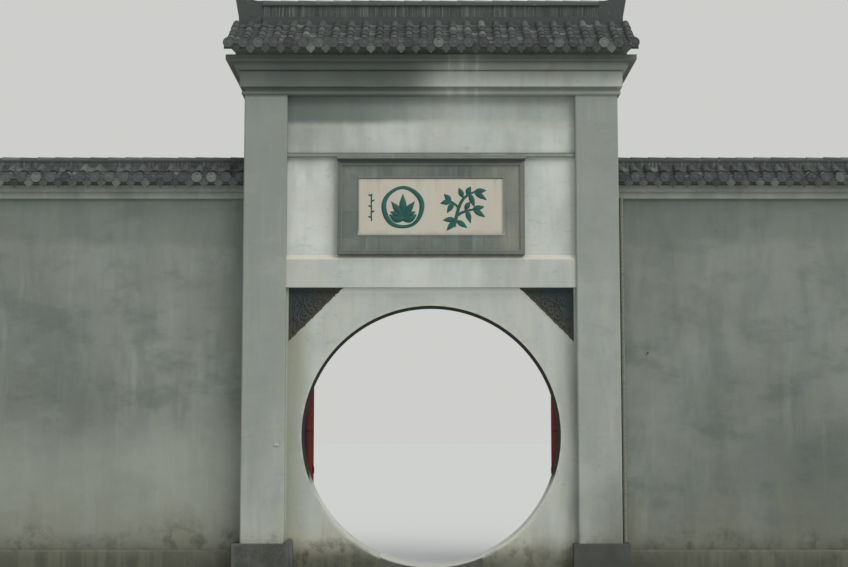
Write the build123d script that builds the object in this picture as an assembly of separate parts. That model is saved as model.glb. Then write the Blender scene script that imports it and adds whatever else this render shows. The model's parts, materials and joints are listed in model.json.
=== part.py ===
from build123d import *
from math import sqrt
import os

# Moon gate of a walled garden: a round opening between two pilasters, with a framed
# plaque, a corbelled cornice and a tiled roof above, a pair of plank doors behind and
# a coped garden wall on both sides. All sizes are in millimetres. The origin is at
# ground level under the middle of the opening, +X runs along the wall, the front
# faces -Y and +Z is up.

# Round opening and the wall that it is cut through
opening_radius = 1400
threshold_height = 90
moon_wall_setback = 90
moon_wall_thickness = 400
threshold_half_length = 550
spandrel_side_margin = 26
spandrel_run = 600
spandrel_rise = 600
spandrel_pocket_depth = 60
spandrel_panel_thickness = 32
spandrel_rib_width = 34
spandrel_rib_height = 12

# Pilasters and their base blocks
opening_side_margin = 180
pilaster_width = 470
pilaster_depth = 900
pilaster_chamfer = 12
base_height = 335
base_front_lap = 60
base_side_overhang = 80
base_front_overhang = 60
base_chamfer = 15
lug_width = 76
lug_inset = 40
lug_height = 385

# Lintel and the wall over it
opening_crown_margin = 200
lintel_height = 360
lintel_setback = 30
lintel_bevel_height = 55
lintel_bevel_depth = 55
upper_wall_thickness = 720
upper_wall_height = 1760

# Framed plaque and the string course over it
plaque_height = 1033
board_half_width = 790
frame_side_width = 233
board_bottom_margin = 223
board_top_margin = 188
board_thickness = 52
frame_thickness = 60
frame_lip_width = 46
frame_lip_rise = 22
frame_bead_width = 14
frame_bead_rise = 8
crown_height = 50
crown_hollow_height = 12
crown_side_overhang = 6
crown_projection = 130
string_course_height = 45
string_course_projection = 50

# Cornice of corbelled courses
cornice_fillet_height = 34
cornice_fillet_projection = 30
cornice_fillet_chamfer = 8
cornice_neck_height = 52
cornice_fascia_height = 166
cornice_fascia_projection = 50
cornice_shadow_height = 12
cornice_ovolo_height = 76
cornice_ovolo_projection = 110
cornice_corona_height = 69
cornice_corona_projection = 190

# Main roof
eave_reach = 800
eave_drop = 20
roof_slab_thickness = 45
roof_slope_rise = 400
roof_slope_sag = 34
roof_verge_overhang = 190
roof_core_gap = 0.3
ridge_width = 170
ridge_waist_width = 124
ridge_foot_height = 150
ridge_waist_height = 130
ridge_cap_height = 62
ridge_cap_width = 186
ridge_end_length = 340
ridge_end_rise = 250
ridge_end_tip = 70

# Garden wall on both sides
side_wall_end = 5200
side_wall_thickness = 300
side_wall_top = 4100
plinth_height = 250
plinth_projection = 40
coping_course_height = 70
coping_course_projection = 45
coping_eave_projection = 180
coping_eave_thickness = 50
coping_rise = 165
coping_sag = 18
coping_ridge_width = 130
coping_ridge_waist = 100
coping_ridge_height = 120
coping_cap_height = 40

# Pair of plank doors that swing inwards on timber pivots
door_axis_margin = 50
door_pair_offset = 25
door_wall_gap = 35
door_thickness = 50
pivot_post_radius = 36
door_meeting_gap = 10
door_bottom = 60
door_head_height = 60
ledge_thickness = 34
ledge_height = 110
ledge_count = 5
ledge_end_margin = 120
pivot_radius = 22
pivot_clearance = 1.5
head_clearance = 10
head_depth = 180
pivot_top_length = 50
pivot_foot_length = 34
pivot_stone_reach = 60
pivot_stone_depth = 180
pivot_seat_gap = 0.3

# Rainwater pipe in the corner beside the right pilaster
pipe_radius = 24
pipe_wall_gap = 20

# Levels and faces worked out from the sizes above
opening_centre_height = threshold_height + opening_radius
pilaster_inner = opening_radius + opening_side_margin
pilaster_outer = pilaster_inner + pilaster_width
pilaster_half = pilaster_depth / 2
moon_front = moon_wall_setback - pilaster_half
moon_rear = moon_front + moon_wall_thickness
upper_front = -upper_wall_thickness / 2
lintel_underside = opening_centre_height + opening_radius + opening_crown_margin
upper_bottom = lintel_underside + lintel_height
upper_wall_top = upper_bottom + upper_wall_height
plaque_half_width = board_half_width + frame_side_width
plaque_top = upper_bottom + plaque_height
string_bottom = plaque_top + crown_height
fillet_top = upper_wall_top + cornice_fillet_height
neck_top = fillet_top + cornice_neck_height
fascia_top = neck_top + cornice_fascia_height
shadow_top = fascia_top + cornice_shadow_height
ovolo_top = shadow_top + cornice_ovolo_height
cornice_top = ovolo_top + cornice_corona_height
corona_half = pilaster_half + cornice_corona_projection
eave_underside = cornice_top + eave_drop
ridge_half = ridge_width / 2
slope_head = eave_underside + roof_slope_rise
roof_end = pilaster_outer + roof_verge_overhang
ridge_end_start = roof_end - ridge_end_length
base_outer = pilaster_outer + base_side_overhang
base_half = pilaster_half + base_front_overhang
side_half = side_wall_thickness / 2
plinth_half = side_half + plinth_projection
coping_bottom = side_wall_top + 2 * coping_course_height
coping_head = coping_bottom + coping_eave_thickness + coping_rise
coping_half = side_half + coping_eave_projection
door_axis_x = opening_radius + door_axis_margin
door_axis_y = moon_rear + door_wall_gap + door_thickness / 2
door_reach = door_axis_x - door_meeting_gap / 2
head_bottom = lintel_underside - door_head_height
door_top = head_bottom - head_clearance
socket_radius = pivot_radius + pivot_clearance


def block(x, y, z):
    """A box from its low and high corners along each axis."""
    size = (x[1] - x[0], y[1] - y[0], z[1] - z[0])
    middle = ((x[0] + x[1]) / 2, (y[0] + y[1]) / 2, (z[0] + z[1]) / 2)
    return Pos(*middle) * Box(*size)


def across_wall(outline, y):
    """An outline in the plane of the wall, extruded through it from y[0] to y[1]."""
    plane = Plane.XZ.offset(-y[1])
    return extrude(plane * make_face(outline), amount=y[1] - y[0])


def along_wall(outline, x):
    """A section across the wall, extruded along it from x[0] to x[1]."""
    plane = Plane.YZ.offset(x[0])
    return extrude(plane * make_face(outline), amount=x[1] - x[0])


def closed(*points):
    """A closed outline of straight lines."""
    return Polyline(*points, close=True)


def both_sides(name, right):
    """The right-hand piece and its mirror image on the left."""
    return {"right_" + name: right, "left_" + name: mirror(right, about=Plane.YZ)}


def opening_cutter():
    """The round way through the wall, longer than the wall is thick."""
    plane = Plane.XZ.offset(-moon_rear - moon_wall_thickness)
    circle = Pos(0, opening_centre_height) * Circle(opening_radius)
    return extrude(plane * circle, amount=3 * moon_wall_thickness)


def spandrel_corner(run, rise):
    """The corner triangle under the lintel at the right, as an outline."""
    edge = pilaster_inner - spandrel_side_margin
    corner = (edge, lintel_underside)
    along = (edge - run, lintel_underside)
    down = (edge, lintel_underside - rise)
    return closed(corner, along, down)


def moon_wall():
    """The wall round the opening: four segments and the stone that people step over."""
    depth = (moon_front, moon_rear)
    cutter = opening_cutter()
    pocket_depth = (moon_front, moon_front + spandrel_pocket_depth)
    pocket = across_wall(spandrel_corner(spandrel_run, spandrel_rise), pocket_depth)
    upper_z = (opening_centre_height, lintel_underside)
    upper = block((0, pilaster_inner), depth, upper_z) - cutter - pocket
    lower_x = (threshold_half_length, pilaster_inner)
    lower = block(lower_x, depth, (0, opening_centre_height)) - cutter
    sill_x = (-threshold_half_length, threshold_half_length)
    sill = block(sill_x, depth, (0, opening_centre_height)) - cutter
    parts = {"threshold_stone": sill}
    parts.update(both_sides("upper_moon_wall", upper))
    parts.update(both_sides("lower_moon_wall", lower))
    return parts


def spandrels():
    """A carved brick triangle set back in each upper corner, with a raised rib round it."""
    back = moon_front + spandrel_pocket_depth
    face = back - spandrel_panel_thickness
    rib_face = face - spandrel_rib_height
    rim = across_wall(spandrel_corner(spandrel_run, spandrel_rise), (rib_face, back))
    slope = sqrt(spandrel_run**2 + spandrel_rise**2)
    rib_along = spandrel_rib_width * (1 + (slope + spandrel_run) / spandrel_rise)
    rib_down = spandrel_rib_width * (1 + (slope + spandrel_rise) / spandrel_run)
    inner = spandrel_corner(spandrel_run - rib_along, spandrel_rise - rib_down)
    field = across_wall(inner, (rib_face, face))
    panel = rim - Pos(-spandrel_rib_width, 0, -spandrel_rib_width) * field
    return both_sides("spandrel", panel)


def pilasters():
    """The two posts beside the opening, each on a wider block of dark stone."""
    depth = (-pilaster_half, pilaster_half)
    shaft = block((pilaster_inner, pilaster_outer), depth, (base_height, upper_wall_top))
    shaft = chamfer(shaft.edges().filter_by(Axis.Z).group_by(Axis.Y)[0], pilaster_chamfer)
    foot_z = (0, base_height)
    base = block((pilaster_inner, base_outer), (-base_half, base_half), foot_z)
    lap_x = (pilaster_inner - base_front_lap, pilaster_inner)
    base += block(lap_x, (-base_half, moon_front), foot_z)
    rim = base.edges().group_by(Axis.Z)[-1]
    base = chamfer(rim.group_by(Axis.Y)[0], base_chamfer)
    parts = both_sides("pilaster", shaft)
    parts.update(both_sides("pilaster_base", base))
    parts["left_pilaster_base"] += base_lug()
    return parts


def base_lug():
    """The small round-topped stone against the inner end of the left base block."""
    lap_end = base_front_lap - pilaster_inner
    middle = lap_end - lug_inset + lug_width / 2
    half = lug_width / 2
    shoulder = lug_height - half
    front = base_chamfer - base_half
    arch = Wire(
        [
            ThreePointArc((middle - half, shoulder), (middle, lug_height), (middle + half, shoulder)),
            *Polyline(
                (middle + half, shoulder),
                (middle + half, 0),
                (middle - half, 0),
                (middle - half, shoulder),
            ).edges(),
        ]
    )
    return across_wall(arch, (front, moon_front))


def lintel():
    """The beam over the opening, bevelled along its upper front edge."""
    front = lintel_setback - pilaster_half
    top = upper_bottom
    section = closed(
        (front, lintel_underside),
        (-front, lintel_underside),
        (-front, top),
        (front + lintel_bevel_depth, top),
        (front, top - lintel_bevel_height),
    )
    return {"lintel": along_wall(section, (-pilaster_inner, pilaster_inner))}


def upper_wall():
    """The wall over the lintel and the string course that crosses it over the plaque."""
    width = (-pilaster_inner, pilaster_inner)
    wall = block(width, (upper_front, -upper_front), (upper_bottom, upper_wall_top))
    nose = upper_front - string_course_projection
    string_top = string_bottom + string_course_height
    section = closed(
        (upper_front, string_bottom),
        (upper_front, string_top),
        (nose + string_course_height / 3, string_top),
        (nose, string_top - string_course_height / 3),
        (nose, string_bottom),
    )
    return {"upper_wall": wall, "string_course": along_wall(section, width)}


def rectangle_ring(outer_x, outer_z, inner_x, inner_z, y):
    """A flat rectangular ring in the plane of the wall."""
    ring = block((-outer_x, outer_x), y, outer_z)
    return ring - block((-inner_x, inner_x), y, inner_z)


def plaque():
    """The board and its moulded frame, mitred at the corners, under a small crown."""
    board_z = (upper_bottom + board_bottom_margin, plaque_top - board_top_margin)
    outer_z = (upper_bottom, plaque_top)
    board_y = (upper_front - board_thickness, upper_front)
    board = block((-board_half_width, board_half_width), board_y, board_z)
    face = upper_front - frame_thickness
    whole = rectangle_ring(
        plaque_half_width, outer_z, board_half_width, board_z, (face, upper_front)
    )
    lip_x = plaque_half_width - frame_lip_width
    lip_z = (outer_z[0] + frame_lip_width, outer_z[1] - frame_lip_width)
    lip_y = (face - frame_lip_rise, face)
    whole += rectangle_ring(plaque_half_width, outer_z, lip_x, lip_z, lip_y)
    bead_x = board_half_width + frame_bead_width
    bead_z = (board_z[0] - frame_bead_width, board_z[1] + frame_bead_width)
    bead_y = (face - frame_bead_rise, face)
    whole += rectangle_ring(bead_x, bead_z, board_half_width, board_z, bead_y)
    reach = (face - frame_lip_rise, upper_front)
    outer = [(x, z) for z in outer_z for x in (-plaque_half_width, plaque_half_width)]
    inner = [(x, z) for z in board_z for x in (-board_half_width, board_half_width)]
    mitres = {"bottom": (0, 1), "top": (2, 3), "left": (0, 2), "right": (1, 3)}
    parts = {"plaque_board": board}
    for side, (first, last) in mitres.items():
        wedge = closed(outer[first], outer[last], inner[last], inner[first])
        parts["plaque_frame_" + side] = whole & across_wall(wedge, reach)
    crown_x = plaque_half_width + crown_side_overhang
    nose = upper_front - crown_projection
    parts["plaque_crown"] = along_wall(crown_section(nose), (-crown_x, crown_x))
    return parts


def crown_section(nose):
    """The crown's section: a flat top, a square nose and a hollow curve beneath it."""
    foot = upper_front - frame_thickness - frame_lip_rise
    nose_bottom = plaque_top + crown_hollow_height
    middle = (foot + 0.38 * (nose - foot), plaque_top + 0.75 * crown_hollow_height)
    hollow = ThreePointArc((foot, plaque_top), middle, (nose, nose_bottom))
    rest = Polyline(
        (nose, nose_bottom),
        (nose, string_bottom),
        (upper_front, string_bottom),
        (upper_front, plaque_top),
        (foot, plaque_top),
    )
    return Wire([hollow, *rest.edges()])


def cornice():
    """The stepped courses that carry the eaves, from the bed up to the corona."""
    fillet_half = pilaster_half + cornice_fillet_projection
    fascia_half = pilaster_half + cornice_fascia_projection
    ovolo_half = pilaster_half + cornice_ovolo_projection

    def course(projection, z):
        """One course that returns round both ends of the gate."""
        reach = pilaster_outer + projection
        half = pilaster_half + projection
        return block((-reach, reach), (-half, half), z)

    bed = course(cornice_fillet_projection, (upper_wall_top, fillet_top))
    bed = chamfer(bed.edges().group_by(Axis.Z)[0], cornice_fillet_chamfer)
    bed += course(0, (fillet_top, neck_top))
    fascia = course(cornice_fascia_projection, (neck_top, fascia_top))
    fascia += course(fillet_half - pilaster_half, (fascia_top, shadow_top))
    ovolo = course(cornice_ovolo_projection, (shadow_top, ovolo_top))
    rounding = min(ovolo_half - fascia_half, cornice_ovolo_height) * 0.9
    ovolo = fillet(ovolo.edges().group_by(Axis.Z)[0], rounding)
    corona = course(cornice_corona_projection, (ovolo_top, cornice_top))
    corona = chamfer(corona.edges().group_by(Axis.Z)[0], cornice_corona_height * 0.2)
    return {
        "cornice_bed": bed,
        "cornice_fascia": fascia,
        "cornice_ovolo": ovolo,
        "cornice_corona": corona,
    }


def slope_line(lift):
    """The sagging line of the front slope from the eave up to the ridge."""
    eave = (-eave_reach, eave_underside + lift)
    head = (-ridge_half, slope_head + lift)
    middle = ((eave[0] + head[0]) / 2, (eave[1] + head[1]) / 2 - roof_slope_sag)
    return ThreePointArc(eave, middle, head)


def roof():
    """Two sagging tile beds on a masonry core, with a ridge between their heads."""
    under = slope_line(0)
    over = slope_line(roof_slab_thickness)
    eave_face = Line(under @ 0, over @ 0)
    head_face = Line(over @ 1, under @ 1)
    bed = Wire([under, head_face, over, eave_face])
    front = along_wall(bed, (-roof_end, roof_end))
    core_half = corona_half - cornice_corona_projection / 2
    core_x = pilaster_outer + cornice_corona_projection / 2
    core = block((-core_x, core_x), (-core_half, core_half), (cornice_top, slope_head))
    line = slope_line(-roof_core_gap)
    sky = slope_head + roof_slope_rise
    lid = Polyline(line @ 1, (-ridge_half, sky), (-eave_reach, sky), line @ 0)
    above = along_wall(Wire([line, *lid.edges()]), (-roof_end, roof_end))
    core -= above
    core -= mirror(above, about=Plane.XZ)
    return {
        "roof_core": core,
        "front_roof_slope": front,
        "rear_roof_slope": mirror(front, about=Plane.XZ),
    }


def ridge_section():
    """Half-symmetric section of the ridge: a foot, a waist and a rounded cap."""
    foot_top = slope_head + ridge_foot_height
    waist_top = foot_top + ridge_waist_height
    cap_top = waist_top + ridge_cap_height
    waist = ridge_waist_width / 2
    cap = ridge_cap_width / 2
    left = Polyline(
        (-cap, waist_top),
        (-waist, waist_top),
        (-waist, foot_top),
        (-ridge_half, foot_top),
        (-ridge_half, slope_head),
        (ridge_half, slope_head),
        (ridge_half, foot_top),
        (waist, foot_top),
        (waist, waist_top),
        (cap, waist_top),
    )
    crest = ThreePointArc((cap, waist_top), (0, cap_top), (-cap, waist_top))
    return Wire([*left.edges(), crest])


def ridge():
    """The ridge along the roof and an upswept end block at each gable."""
    body = along_wall(ridge_section(), (-ridge_end_start, ridge_end_start))
    cap_top = slope_head + ridge_foot_height + ridge_waist_height + ridge_cap_height
    tip = (roof_end, cap_top + ridge_end_rise)
    inner_tip = (roof_end - ridge_end_tip, cap_top + ridge_end_rise)
    sweep_middle = (ridge_end_start + ridge_end_length * 0.55, cap_top + ridge_end_rise * 0.22)
    outer_middle = (roof_end - ridge_end_tip * 0.4, cap_top + ridge_end_rise * 0.2)
    heel = (roof_end - ridge_end_tip, slope_head + ridge_foot_height)
    crest = ThreePointArc((ridge_end_start, cap_top), sweep_middle, inner_tip)
    outer = ThreePointArc(tip, outer_middle, heel)
    rest = Polyline(
        heel,
        (heel[0], slope_head),
        (ridge_end_start, slope_head),
        (ridge_end_start, cap_top),
    )
    outline = Wire([crest, Line(inner_tip, tip), outer, *rest.edges()])
    waist = ridge_waist_width / 2
    end = across_wall(outline, (-waist, waist))
    parts = {"roof_ridge": body}
    parts.update(both_sides("ridge_end", end))
    return parts


def side_walls():
    """The garden wall beside the gate: plinth, plastered wall and tiled coping."""
    wall_outline = closed(
        (pilaster_outer, base_height),
        (base_outer, base_height),
        (base_outer, plinth_height),
        (side_wall_end, plinth_height),
        (side_wall_end, side_wall_top),
        (pilaster_outer, side_wall_top),
    )
    wall = across_wall(wall_outline, (-side_half, side_half))
    plinth_y = (-plinth_half, plinth_half)
    plinth = block((base_outer, side_wall_end), plinth_y, (0, plinth_height))
    plinth = chamfer(plinth.edges().filter_by(Axis.X).group_by(Axis.Z)[-1], plinth_projection / 2)
    parts = both_sides("side_wall", wall)
    parts.update(both_sides("plinth", plinth))
    parts.update(both_sides("coping_cornice", coping_cornice()))
    parts.update(both_sides("coping_roof", coping_roof()))
    parts.update(both_sides("coping_ridge", coping_ridge()))
    return parts


def coping_cornice():
    """Two corbelled courses along the top of the garden wall."""
    length = (pilaster_outer, side_wall_end)
    first = side_half + coping_course_projection
    second = first + coping_course_projection
    middle = side_wall_top + coping_course_height
    course = block(length, (-first, first), (side_wall_top, middle))
    return course + block(length, (-second, second), (middle, coping_bottom))


def coping_roof():
    """The double slope of the coping, a little hollow between eave and ridge."""
    waist = coping_ridge_width / 2
    eave_top = coping_bottom + coping_eave_thickness
    middle_y = (coping_half + waist) / 2
    middle_z = (eave_top + coping_head) / 2 - coping_sag
    front = ThreePointArc((-coping_half, eave_top), (-middle_y, middle_z), (-waist, coping_head))
    rear = ThreePointArc((waist, coping_head), (middle_y, middle_z), (coping_half, eave_top))
    top = Line((-waist, coping_head), (waist, coping_head))
    eaves = Polyline(
        (coping_half, eave_top),
        (coping_half, coping_bottom),
        (-coping_half, coping_bottom),
        (-coping_half, eave_top),
    )
    return along_wall(Wire([front, top, rear, *eaves.edges()]), (pilaster_outer, side_wall_end))


def coping_ridge():
    """The small ridge on the coping, with a rounded cap that overhangs its sides."""
    waist = coping_ridge_waist / 2
    cap = coping_ridge_width / 2
    waist_top = coping_head + coping_ridge_height - coping_cap_height
    base = Polyline(
        (-cap, waist_top),
        (-waist, waist_top),
        (-waist, coping_head),
        (waist, coping_head),
        (waist, waist_top),
        (cap, waist_top),
    )
    top = coping_head + coping_ridge_height
    crest = ThreePointArc((cap, waist_top), (0, top), (-cap, waist_top))
    return along_wall(Wire([*base.edges(), crest]), (pilaster_outer, side_wall_end))


def door_leaf():
    """A leaf, standing open: planks on ledges, turning on a round timber post."""
    half = door_thickness / 2
    inner_face = door_axis_x - half
    outer_face = door_axis_x + half
    far = door_axis_y + door_reach
    height = (door_bottom, door_top)
    leaf = block((inner_face, outer_face), (door_axis_y, far), height)
    post = Pos(door_axis_x, door_axis_y, (door_bottom + door_top) / 2)
    leaf += post * Cylinder(pivot_post_radius, door_top - door_bottom)
    pin_low = door_bottom - pivot_foot_length
    pin_high = door_top + pivot_top_length
    pin = Pos(door_axis_x, door_axis_y, (pin_low + pin_high) / 2)
    leaf += pin * Cylinder(pivot_radius, pin_high - pin_low)
    return leaf


def door_ledges():
    """The ledges across the outer face of the open leaf, which hold its planks."""
    outer_face = door_axis_x + door_thickness / 2
    span = door_top - door_bottom - 2 * ledge_end_margin - ledge_height
    start = door_axis_y + ledge_end_margin
    end = door_axis_y + door_reach - ledge_end_margin
    ledges = []
    for index in range(ledge_count):
        low = door_bottom + ledge_end_margin + span * index / (ledge_count - 1)
        bar = block((outer_face, outer_face + ledge_thickness), (start, end), (low, low + ledge_height))
        ledges.append(bar)
    return ledges


def doors():
    """Both leaves, the head that holds their upper pivots and the stones under them."""
    leaf = door_leaf()
    for ledge in door_ledges():
        leaf += ledge
    head_y = (moon_rear, moon_rear + head_depth)
    head = block((-pilaster_inner, pilaster_inner), head_y, (head_bottom, lintel_underside))
    parts = {}
    for name, hung in both_sides("door_leaf", leaf).items():
        parts[name] = Pos(door_pair_offset, 0, 0) * hung
    for name, side in {"left": -1, "right": 1}.items():
        axis = door_pair_offset + side * door_axis_x
        bore = Pos(axis, door_axis_y, (head_bottom + lintel_underside) / 2)
        head -= bore * Cylinder(socket_radius, lintel_underside - head_bottom)
        parts[name + "_pivot_stone"] = pivot_stone(axis, side)
    parts["door_head"] = head
    return parts


def pivot_stone(axis, side):
    """The stone under one lower pivot, with the blind socket that it turns in."""
    top = door_bottom - head_clearance
    ends = sorted((axis - side * pivot_stone_reach, side * pilaster_inner))
    stone = block(ends, (moon_rear, moon_rear + pivot_stone_depth), (0, top))
    socket_floor = door_bottom - pivot_foot_length - pivot_seat_gap
    socket = Pos(axis, door_axis_y, (socket_floor + top) / 2)
    return stone - socket * Cylinder(socket_radius, top - socket_floor)


def downpipe():
    """The slim pipe in the corner between the right pilaster and the garden wall."""
    x = base_outer - pipe_radius
    y = -side_half - pipe_wall_gap - pipe_radius
    pipe = Pos(x, y, (base_height + side_wall_top) / 2)
    return {"right_downpipe": pipe * Cylinder(pipe_radius, side_wall_top - base_height)}


def gate():
    """Every piece of the gate by its node's name."""
    parts = {}
    sections = (
        moon_wall,
        spandrels,
        pilasters,
        lintel,
        upper_wall,
        plaque,
        cornice,
        roof,
        ridge,
        side_walls,
        doors,
        downpipe,
    )
    for section in sections:
        parts.update(section())
    return parts


os.makedirs("parts", exist_ok=True)
for name, piece in gate().items():
    export_step(piece, os.path.join("parts", name + ".step"))
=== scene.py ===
"""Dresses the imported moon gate: weathered plaster, grey tiles, carved brick and red plank doors.

All sizes are in metres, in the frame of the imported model: the origin is at ground level under
the middle of the round opening, +X runs along the wall, the front faces -Y and +Z is up.
"""

from __future__ import annotations

import json
import logging
import math
import random
from contextlib import contextmanager
from dataclasses import dataclass, field
from enum import Enum
from typing import Any, Callable, Iterable, Iterator, Sequence

import bmesh
import bpy
from mathutils import Matrix, Vector

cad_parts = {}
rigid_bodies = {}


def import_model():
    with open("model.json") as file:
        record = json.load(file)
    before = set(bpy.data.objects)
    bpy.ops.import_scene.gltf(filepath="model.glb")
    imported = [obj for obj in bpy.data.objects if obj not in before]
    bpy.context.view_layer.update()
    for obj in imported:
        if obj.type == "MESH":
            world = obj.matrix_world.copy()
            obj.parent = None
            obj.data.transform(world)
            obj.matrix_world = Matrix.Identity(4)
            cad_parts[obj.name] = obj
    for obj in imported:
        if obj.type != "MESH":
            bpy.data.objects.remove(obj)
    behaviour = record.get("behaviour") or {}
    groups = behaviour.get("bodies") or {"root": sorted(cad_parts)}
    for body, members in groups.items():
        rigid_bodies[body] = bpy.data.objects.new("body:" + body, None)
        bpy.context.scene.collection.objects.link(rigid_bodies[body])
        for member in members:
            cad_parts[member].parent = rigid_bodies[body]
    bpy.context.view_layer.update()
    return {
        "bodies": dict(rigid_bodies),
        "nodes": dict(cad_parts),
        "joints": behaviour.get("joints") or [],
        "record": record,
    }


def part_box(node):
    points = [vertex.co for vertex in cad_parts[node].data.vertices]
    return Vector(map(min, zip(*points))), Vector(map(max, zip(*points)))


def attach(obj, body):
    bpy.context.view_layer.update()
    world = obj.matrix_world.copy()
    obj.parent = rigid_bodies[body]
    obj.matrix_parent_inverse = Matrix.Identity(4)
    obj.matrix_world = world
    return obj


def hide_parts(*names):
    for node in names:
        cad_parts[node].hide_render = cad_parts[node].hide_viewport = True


LOG = logging.getLogger("moon_gate")
GATE = "gate"
NO_DAMP = -4.0
SHARP_ANGLE = 35.0
MERGE_DISTANCE = 1e-5

Colour = tuple[float, float, float]
Point = tuple[float, float, float]
Stroke = list[tuple[float, float, float]]
Piece = bpy.types.Object


def shade(red: int, green: int, blue: int) -> Colour:
    """Turn an eye-matched 0 to 255 colour into the linear one that a shader takes.

    Args:
        red: Red part, 0 to 255.
        green: Green part, 0 to 255.
        blue: Blue part, 0 to 255.

    Returns:
        The linear colour.
    """

    def linear(part: int) -> float:
        """Give one part's linear value."""
        value = part / 255
        return value / 12.92 if value <= 0.04045 else ((value + 0.055) / 1.055) ** 2.4

    return linear(red), linear(green), linear(blue)


class Side(Enum):
    """Which side of the opening a piece is on, as the sign of its X."""

    LEFT = -1
    RIGHT = 1

    @property
    def word(self) -> str:
        """Give the side as the nodes are named."""
        return self.name.lower()


class Axis(Enum):
    """The axis that a round primitive stands along."""

    X = (0.0, math.pi / 2, 0.0)
    Y = (math.pi / 2, 0.0, 0.0)
    Z = (0.0, 0.0, 0.0)


class Part(Enum):
    """What is selected in edit mode."""

    FACES = "FACE"
    POINTS = "VERT"


class Bench:
    """The few hand tools that every piece is made with."""

    @staticmethod
    def only(*pieces: Piece) -> None:
        """Select some pieces alone and make the first the active one."""
        bpy.ops.object.select_all(action="DESELECT")
        for piece in pieces:
            piece.select_set(True)
        bpy.context.view_layer.objects.active = pieces[0]

    @staticmethod
    def named(piece: Piece, name: str) -> Piece:
        """Name a piece and its mesh."""
        piece.name = piece.data.name = name
        return piece

    @staticmethod
    def add(name: str, kind: str, **settings: Any) -> Piece:
        """Add a primitive and put its place, turn and scale into its mesh.

        Args:
            name: Name of the piece.
            kind: The primitive, such as cube.
            **settings: The operator's settings.

        Returns:
            The piece.
        """
        bpy.ops.object.select_all(action="DESELECT")
        getattr(bpy.ops.mesh, f"primitive_{kind}_add")(**settings)
        piece = Bench.named(bpy.context.active_object, name)
        Bench.only(piece)
        bpy.ops.object.transform_apply(location=True, rotation=True, scale=True)
        return piece

    @staticmethod
    def block(name: str, low: Sequence[float], high: Sequence[float]) -> Piece:
        """Add a box from its low and high corners."""
        middle, size = zip(*(((a + b) / 2, b - a) for a, b in zip(low, high)))
        return Bench.add(name, "cube", size=1, location=middle, scale=size)

    @staticmethod
    def rod(
        name: str,
        centre: Point,
        radius: float,
        length: float,
        axis: Axis = Axis.Z,
        sides: int = 24,
        capped: bool = True,
    ) -> Piece:
        """Add a round rod, or a shell where its ends aren't capped."""
        place = {"location": centre, "rotation": axis.value, "end_fill_type": "NGON" if capped else "NOTHING"}
        return Bench.add(name, "cylinder", vertices=sides, radius=radius, depth=length, **place)

    @staticmethod
    def dome(name: str, centre: Point, size: Point, sides: int = 12) -> Piece:
        """Add a ball squeezed to a half-size along each axis."""
        shape = {"segments": sides, "ring_count": sides // 2, "radius": 1}
        return Bench.add(name, "uv_sphere", location=centre, scale=size, **shape)

    @staticmethod
    @contextmanager
    def edit(piece: Piece, choose: Callable[..., bool], part: Part = Part.FACES) -> Iterator[None]:
        """Edit a piece with only some of its faces or points selected.

        Args:
            piece: The piece.
            choose: Says from a face's centre and normal, or a point's place, whether it is taken.
            part: Whether faces or points are chosen.

        Yields:
            Nothing. Afterwards the piece is back in object mode.
        """
        Bench.only(piece)
        bpy.ops.object.mode_set(mode="EDIT")
        bpy.ops.mesh.select_mode(type=part.value)
        bpy.ops.mesh.select_all(action="DESELECT")
        mesh = bmesh.from_edit_mesh(piece.data)
        for item in mesh.faces if part is Part.FACES else mesh.verts:
            place = (item.calc_center_median(), item.normal) if part is Part.FACES else (item.co,)
            item.select_set(choose(*place))
        mesh.select_flush_mode()
        bmesh.update_edit_mesh(piece.data)
        yield
        bpy.ops.object.mode_set(mode="OBJECT")

    @staticmethod
    def cut(piece: Piece, choose: Callable[[Vector, Vector], bool]) -> None:
        """Delete the faces that are chosen by centre and normal."""
        with Bench.edit(piece, choose):
            bpy.ops.mesh.delete(type="FACE")

    @staticmethod
    def terrace(
        piece: Piece, choose: Callable[[Vector, Vector], bool], steps: Iterable[tuple[float, Point]]
    ) -> None:
        """Inset some faces and move them in or out, step by step.

        Args:
            piece: The piece.
            choose: Says from a face's centre and normal whether it is taken.
            steps: Width of each inset and the move after it.
        """
        with Bench.edit(piece, choose):
            for width, move in steps:
                bpy.ops.mesh.inset(thickness=width)
                bpy.ops.transform.translate(value=move)

    @staticmethod
    def squeeze(piece: Piece, value: Point, centre: Point, choose: Callable[[Vector], bool]) -> None:
        """Scale the points that are chosen by place about a centre."""
        with Bench.edit(piece, choose, Part.POINTS):
            bpy.ops.transform.resize(value=value, center_override=centre)

    @staticmethod
    def modify(piece: Piece, kind: str, **settings: Any) -> Piece:
        """Add a modifier with its settings and apply it.

        Args:
            piece: The piece.
            kind: The modifier's type.
            **settings: Its settings by name.

        Returns:
            The same piece.
        """
        modifier = piece.modifiers.new(kind.lower(), kind)
        for key, value in settings.items():
            setattr(modifier, key, value)
        Bench.only(piece)
        bpy.ops.object.modifier_apply(modifier=modifier.name)
        return piece

    @staticmethod
    def bevel(piece: Piece, width: float, segments: int = 2) -> Piece:
        """Round the sharp edges of a piece."""
        limit = {"limit_method": "ANGLE", "angle_limit": math.radians(SHARP_ANGLE)}
        return Bench.modify(piece, "BEVEL", width=width, segments=segments, **limit)

    @staticmethod
    def smooth(piece: Piece, degrees: float = SHARP_ANGLE) -> Piece:
        """Shade a piece smooth apart from edges sharper than an angle."""
        Bench.only(piece)
        bpy.ops.object.shade_smooth_by_angle(angle=math.radians(degrees))
        return piece

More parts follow.
